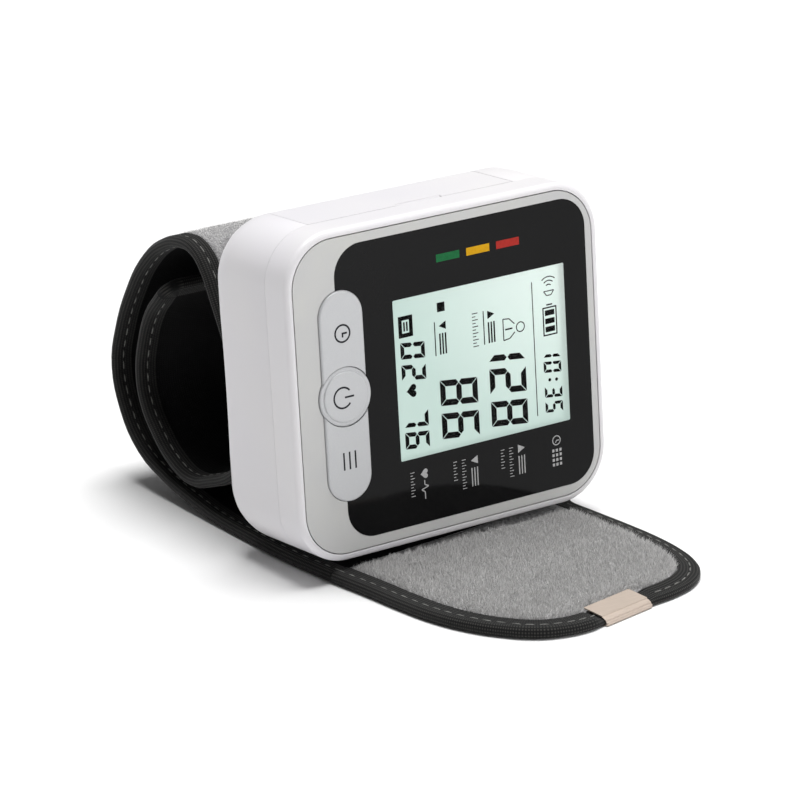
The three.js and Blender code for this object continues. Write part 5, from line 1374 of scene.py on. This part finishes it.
layer, area = tail_layer(TAIL_LEG + UNDER_GAP, 0, PILE_TOP, PILE_TOP)
made = tail_piece("tail_under_pile", layer, grey_pile, ["tail_outer_fabric"])
layer, area = tail_layer(TAIL_LEG + UPPER_GAP, LINING_UNDER, PILE_RIM, PILE_CROWN)
nap = layer.copy()
bmesh.ops.triangulate(nap, faces=nap.faces[:])
nap.normal_update()
bare_half = CLIP_WIDTH / 2 + CLIP_BESIDE
bare_front = CLIP_MIDDLE[1] + CLIP_REACH
nap_faces = []
for face in nap.faces:
    place = face.calc_center_median()
    under_clip = abs(place.x - CLIP_MIDDLE[0]) < bare_half and place.y < bare_front
    before_case = (tail_place @ place).y < FUR_BACK * MM
    if face.normal.z > FACING_UP and before_case and not under_clip:
        nap_faces.append(face)
tail_fur = hairs(nap_faces, TAIL_FUR, TAIL_FUR_LENGTHS, TAIL_FUR_FOOT, TAIL_FUR_SEED)
fibres = tail_piece("tail_pile_fibres", tail_fur, pile_fibre)
nap.free()
made = tail_piece("tail_pile", layer, grey_pile, ["tail_hook_patch", "cuff_hook_patch"])


def tail_tape_size(spot):
    """Radius and height of the folded tape: thinner round the nose than along the sides."""
    side_share = max(rise(-spot.x, *THICKER_LEFT), rise(spot.y, *THICKER_BACK))
    return NOSE_ROLL + (cuff_roll - NOSE_ROLL) * side_share, NOSE_TOP + (STRIP_THICK - NOSE_TOP) * side_share


tail_rows = []
for spot, way in edge_path(tail_line):
    roll, top = tail_tape_size(spot)
    ring = tape_ring(roll, TAIL_LEG, top)
    tail_rows.append([pinched(spot + way * inset + Vector((0, 0, height))) for inset, height in ring])
tail_seam = bmesh.new()
upward = Vector((0, 0, 1))
for spot, way in spaced(edge_path(smooth_line(tail_knots, SEAM_STEPS)), 0):
    clipped = abs(spot.x - CLIP_MIDDLE[0]) < UNSEWN_HALF and spot.y < UNSEWN_FRONT
    if not clipped:
        roll, top = tail_tape_size(spot)
        height = 2 * roll + (top - 2 * roll) * (STITCH_INSET - roll) / (TAIL_LEG - roll)
        along = Vector((-way.y, way.x, 0))
        sewn = spot + way * STITCH_INSET
        sew(tail_seam, pinched(sewn + upward * (height - TAIL_STITCH_SUNK)), along, upward)
        sew(tail_seam, sewn + upward * TAIL_STITCH_UNDER, along, upward)
made = tail_piece("tail_tape", lofted(tail_rows), charcoal_tape, ["tail_binding"])
tail_piece("tail_stitches", tail_seam, sewing_thread)

# Tail clip
# A strip of satin champagne-coloured steel, folded in a press round the tail's end and squeezed flat.
# Its upper leg slopes to a crease, bends over the end and goes back underneath.
CLIP_PROFILE = (
    (6.9, 2.72), (1.6, 2.16), (1.5, 1.84), (1.2, 1.82), (0.42, 1.42), (0.36, 1.08), (0.06, 1), (0, 0.7),
    (0.05, 0.3), (0.3, 0.03), (5.4, 0.03), (5.4, 0.36), (0.62, 0.38), (0.42, 0.6), (0.66, 1.1), (0.78, 1.24),
    (1.45, 1.6), (1.6, 1.74), (6.9, 2.36),
)
CLIP_EDGE = 0.1
BRUSH_LINE = 0.25
BRUSH_STRETCH = (0.05, 1, 1)

# Satin plated steel: warm beige with fine brushed lines along the clip and bright edges.
champagne_steel = mottled("satin_champagne_steel", "#BFB0A3", "#CABBAE", BRUSH_LINE, (0.36, 0.46),
                          (0.05, 0.05), stretch=BRUSH_STRETCH, detail=3, Metallic=0.3)
clip = bmesh.new()
side_face = clip.faces.new([clip.verts.new((-CLIP_WIDTH / 2, back, height)) for back, height in CLIP_PROFILE])
pull(clip, [side_face], (CLIP_WIDTH, 0, 0))
bmesh.ops.recalc_face_normals(clip, faces=clip.faces[:])
clip_place = tail_place @ Matrix.Translation((*CLIP_MIDDLE, 0)) @ Matrix.Rotation(CLIP_TURN, 4, "Z")
piece("end_clip", clip, champagne_steel, "tail", ["tail_clip"], place=clip_place,
      edge=CLIP_EDGE, sharp=32)

# Floor and light
# A plain white sweep under one large soft light from above, with two weak fills in front: one high
# at the right and one just above the floor, which lifts the shade at the foot of the display.
FLOOR_SIZE = 4
FLOOR_CLOUD = 60
SUN_POWER = 3.8
SUN_SPREAD = 34
SUN_TURN = (-4, 6, 0)
FILLS = (("front_fill", (0.7, -1, 0.6), 0.8, 3), ("low_fill", (0.1, -0.45, 0.04), 0.2, 0.35))
FILL_AIM = (0, 0, 0.03)
ROOM_GLOW = 0.12

# Painted board: matt white with a trace of unevenness.
floor_white = mottled("matt_white_floor", "#ECECEC", "#EEEEEE", FLOOR_CLOUD, Roughness=0.9)
floor = bmesh.new()
bmesh.ops.create_grid(floor, x_segments=1, y_segments=1, size=FLOOR_SIZE)
floor_mesh = bpy.data.meshes.new("floor")
floor.to_mesh(floor_mesh)
floor.free()
floor_mesh.materials.append(floor_white)
floor_object = add("floor", floor_mesh)
floor_object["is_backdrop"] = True

sun_data = bpy.data.lights.new("overhead_softbox", "SUN")
sun_data.energy = SUN_POWER
sun_data.angle = math.radians(SUN_SPREAD)
sun = add("overhead_softbox", sun_data)
sun.rotation_euler = [math.radians(turn) for turn in SUN_TURN]
for name, place, size, power in FILLS:
    fill_data = bpy.data.lights.new(name, "AREA")
    fill_data.energy = power
    fill_data.size = size
    fill = add(name, fill_data)
    fill.location = place
    fill.rotation_euler = (Vector(FILL_AIM) - fill.location).to_track_quat("-Z", "Y").to_euler()
    fill.visible_camera = False
world = bpy.data.worlds.new("studio")
world.use_nodes = True
world.node_tree.nodes["Background"].inputs["Color"].default_value = (1, 1, 1, 1)
world.node_tree.nodes["Background"].inputs["Strength"].default_value = ROOM_GLOW
bpy.context.scene.world = world
bpy.context.scene.view_settings.view_transform = "Standard"

low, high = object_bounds()
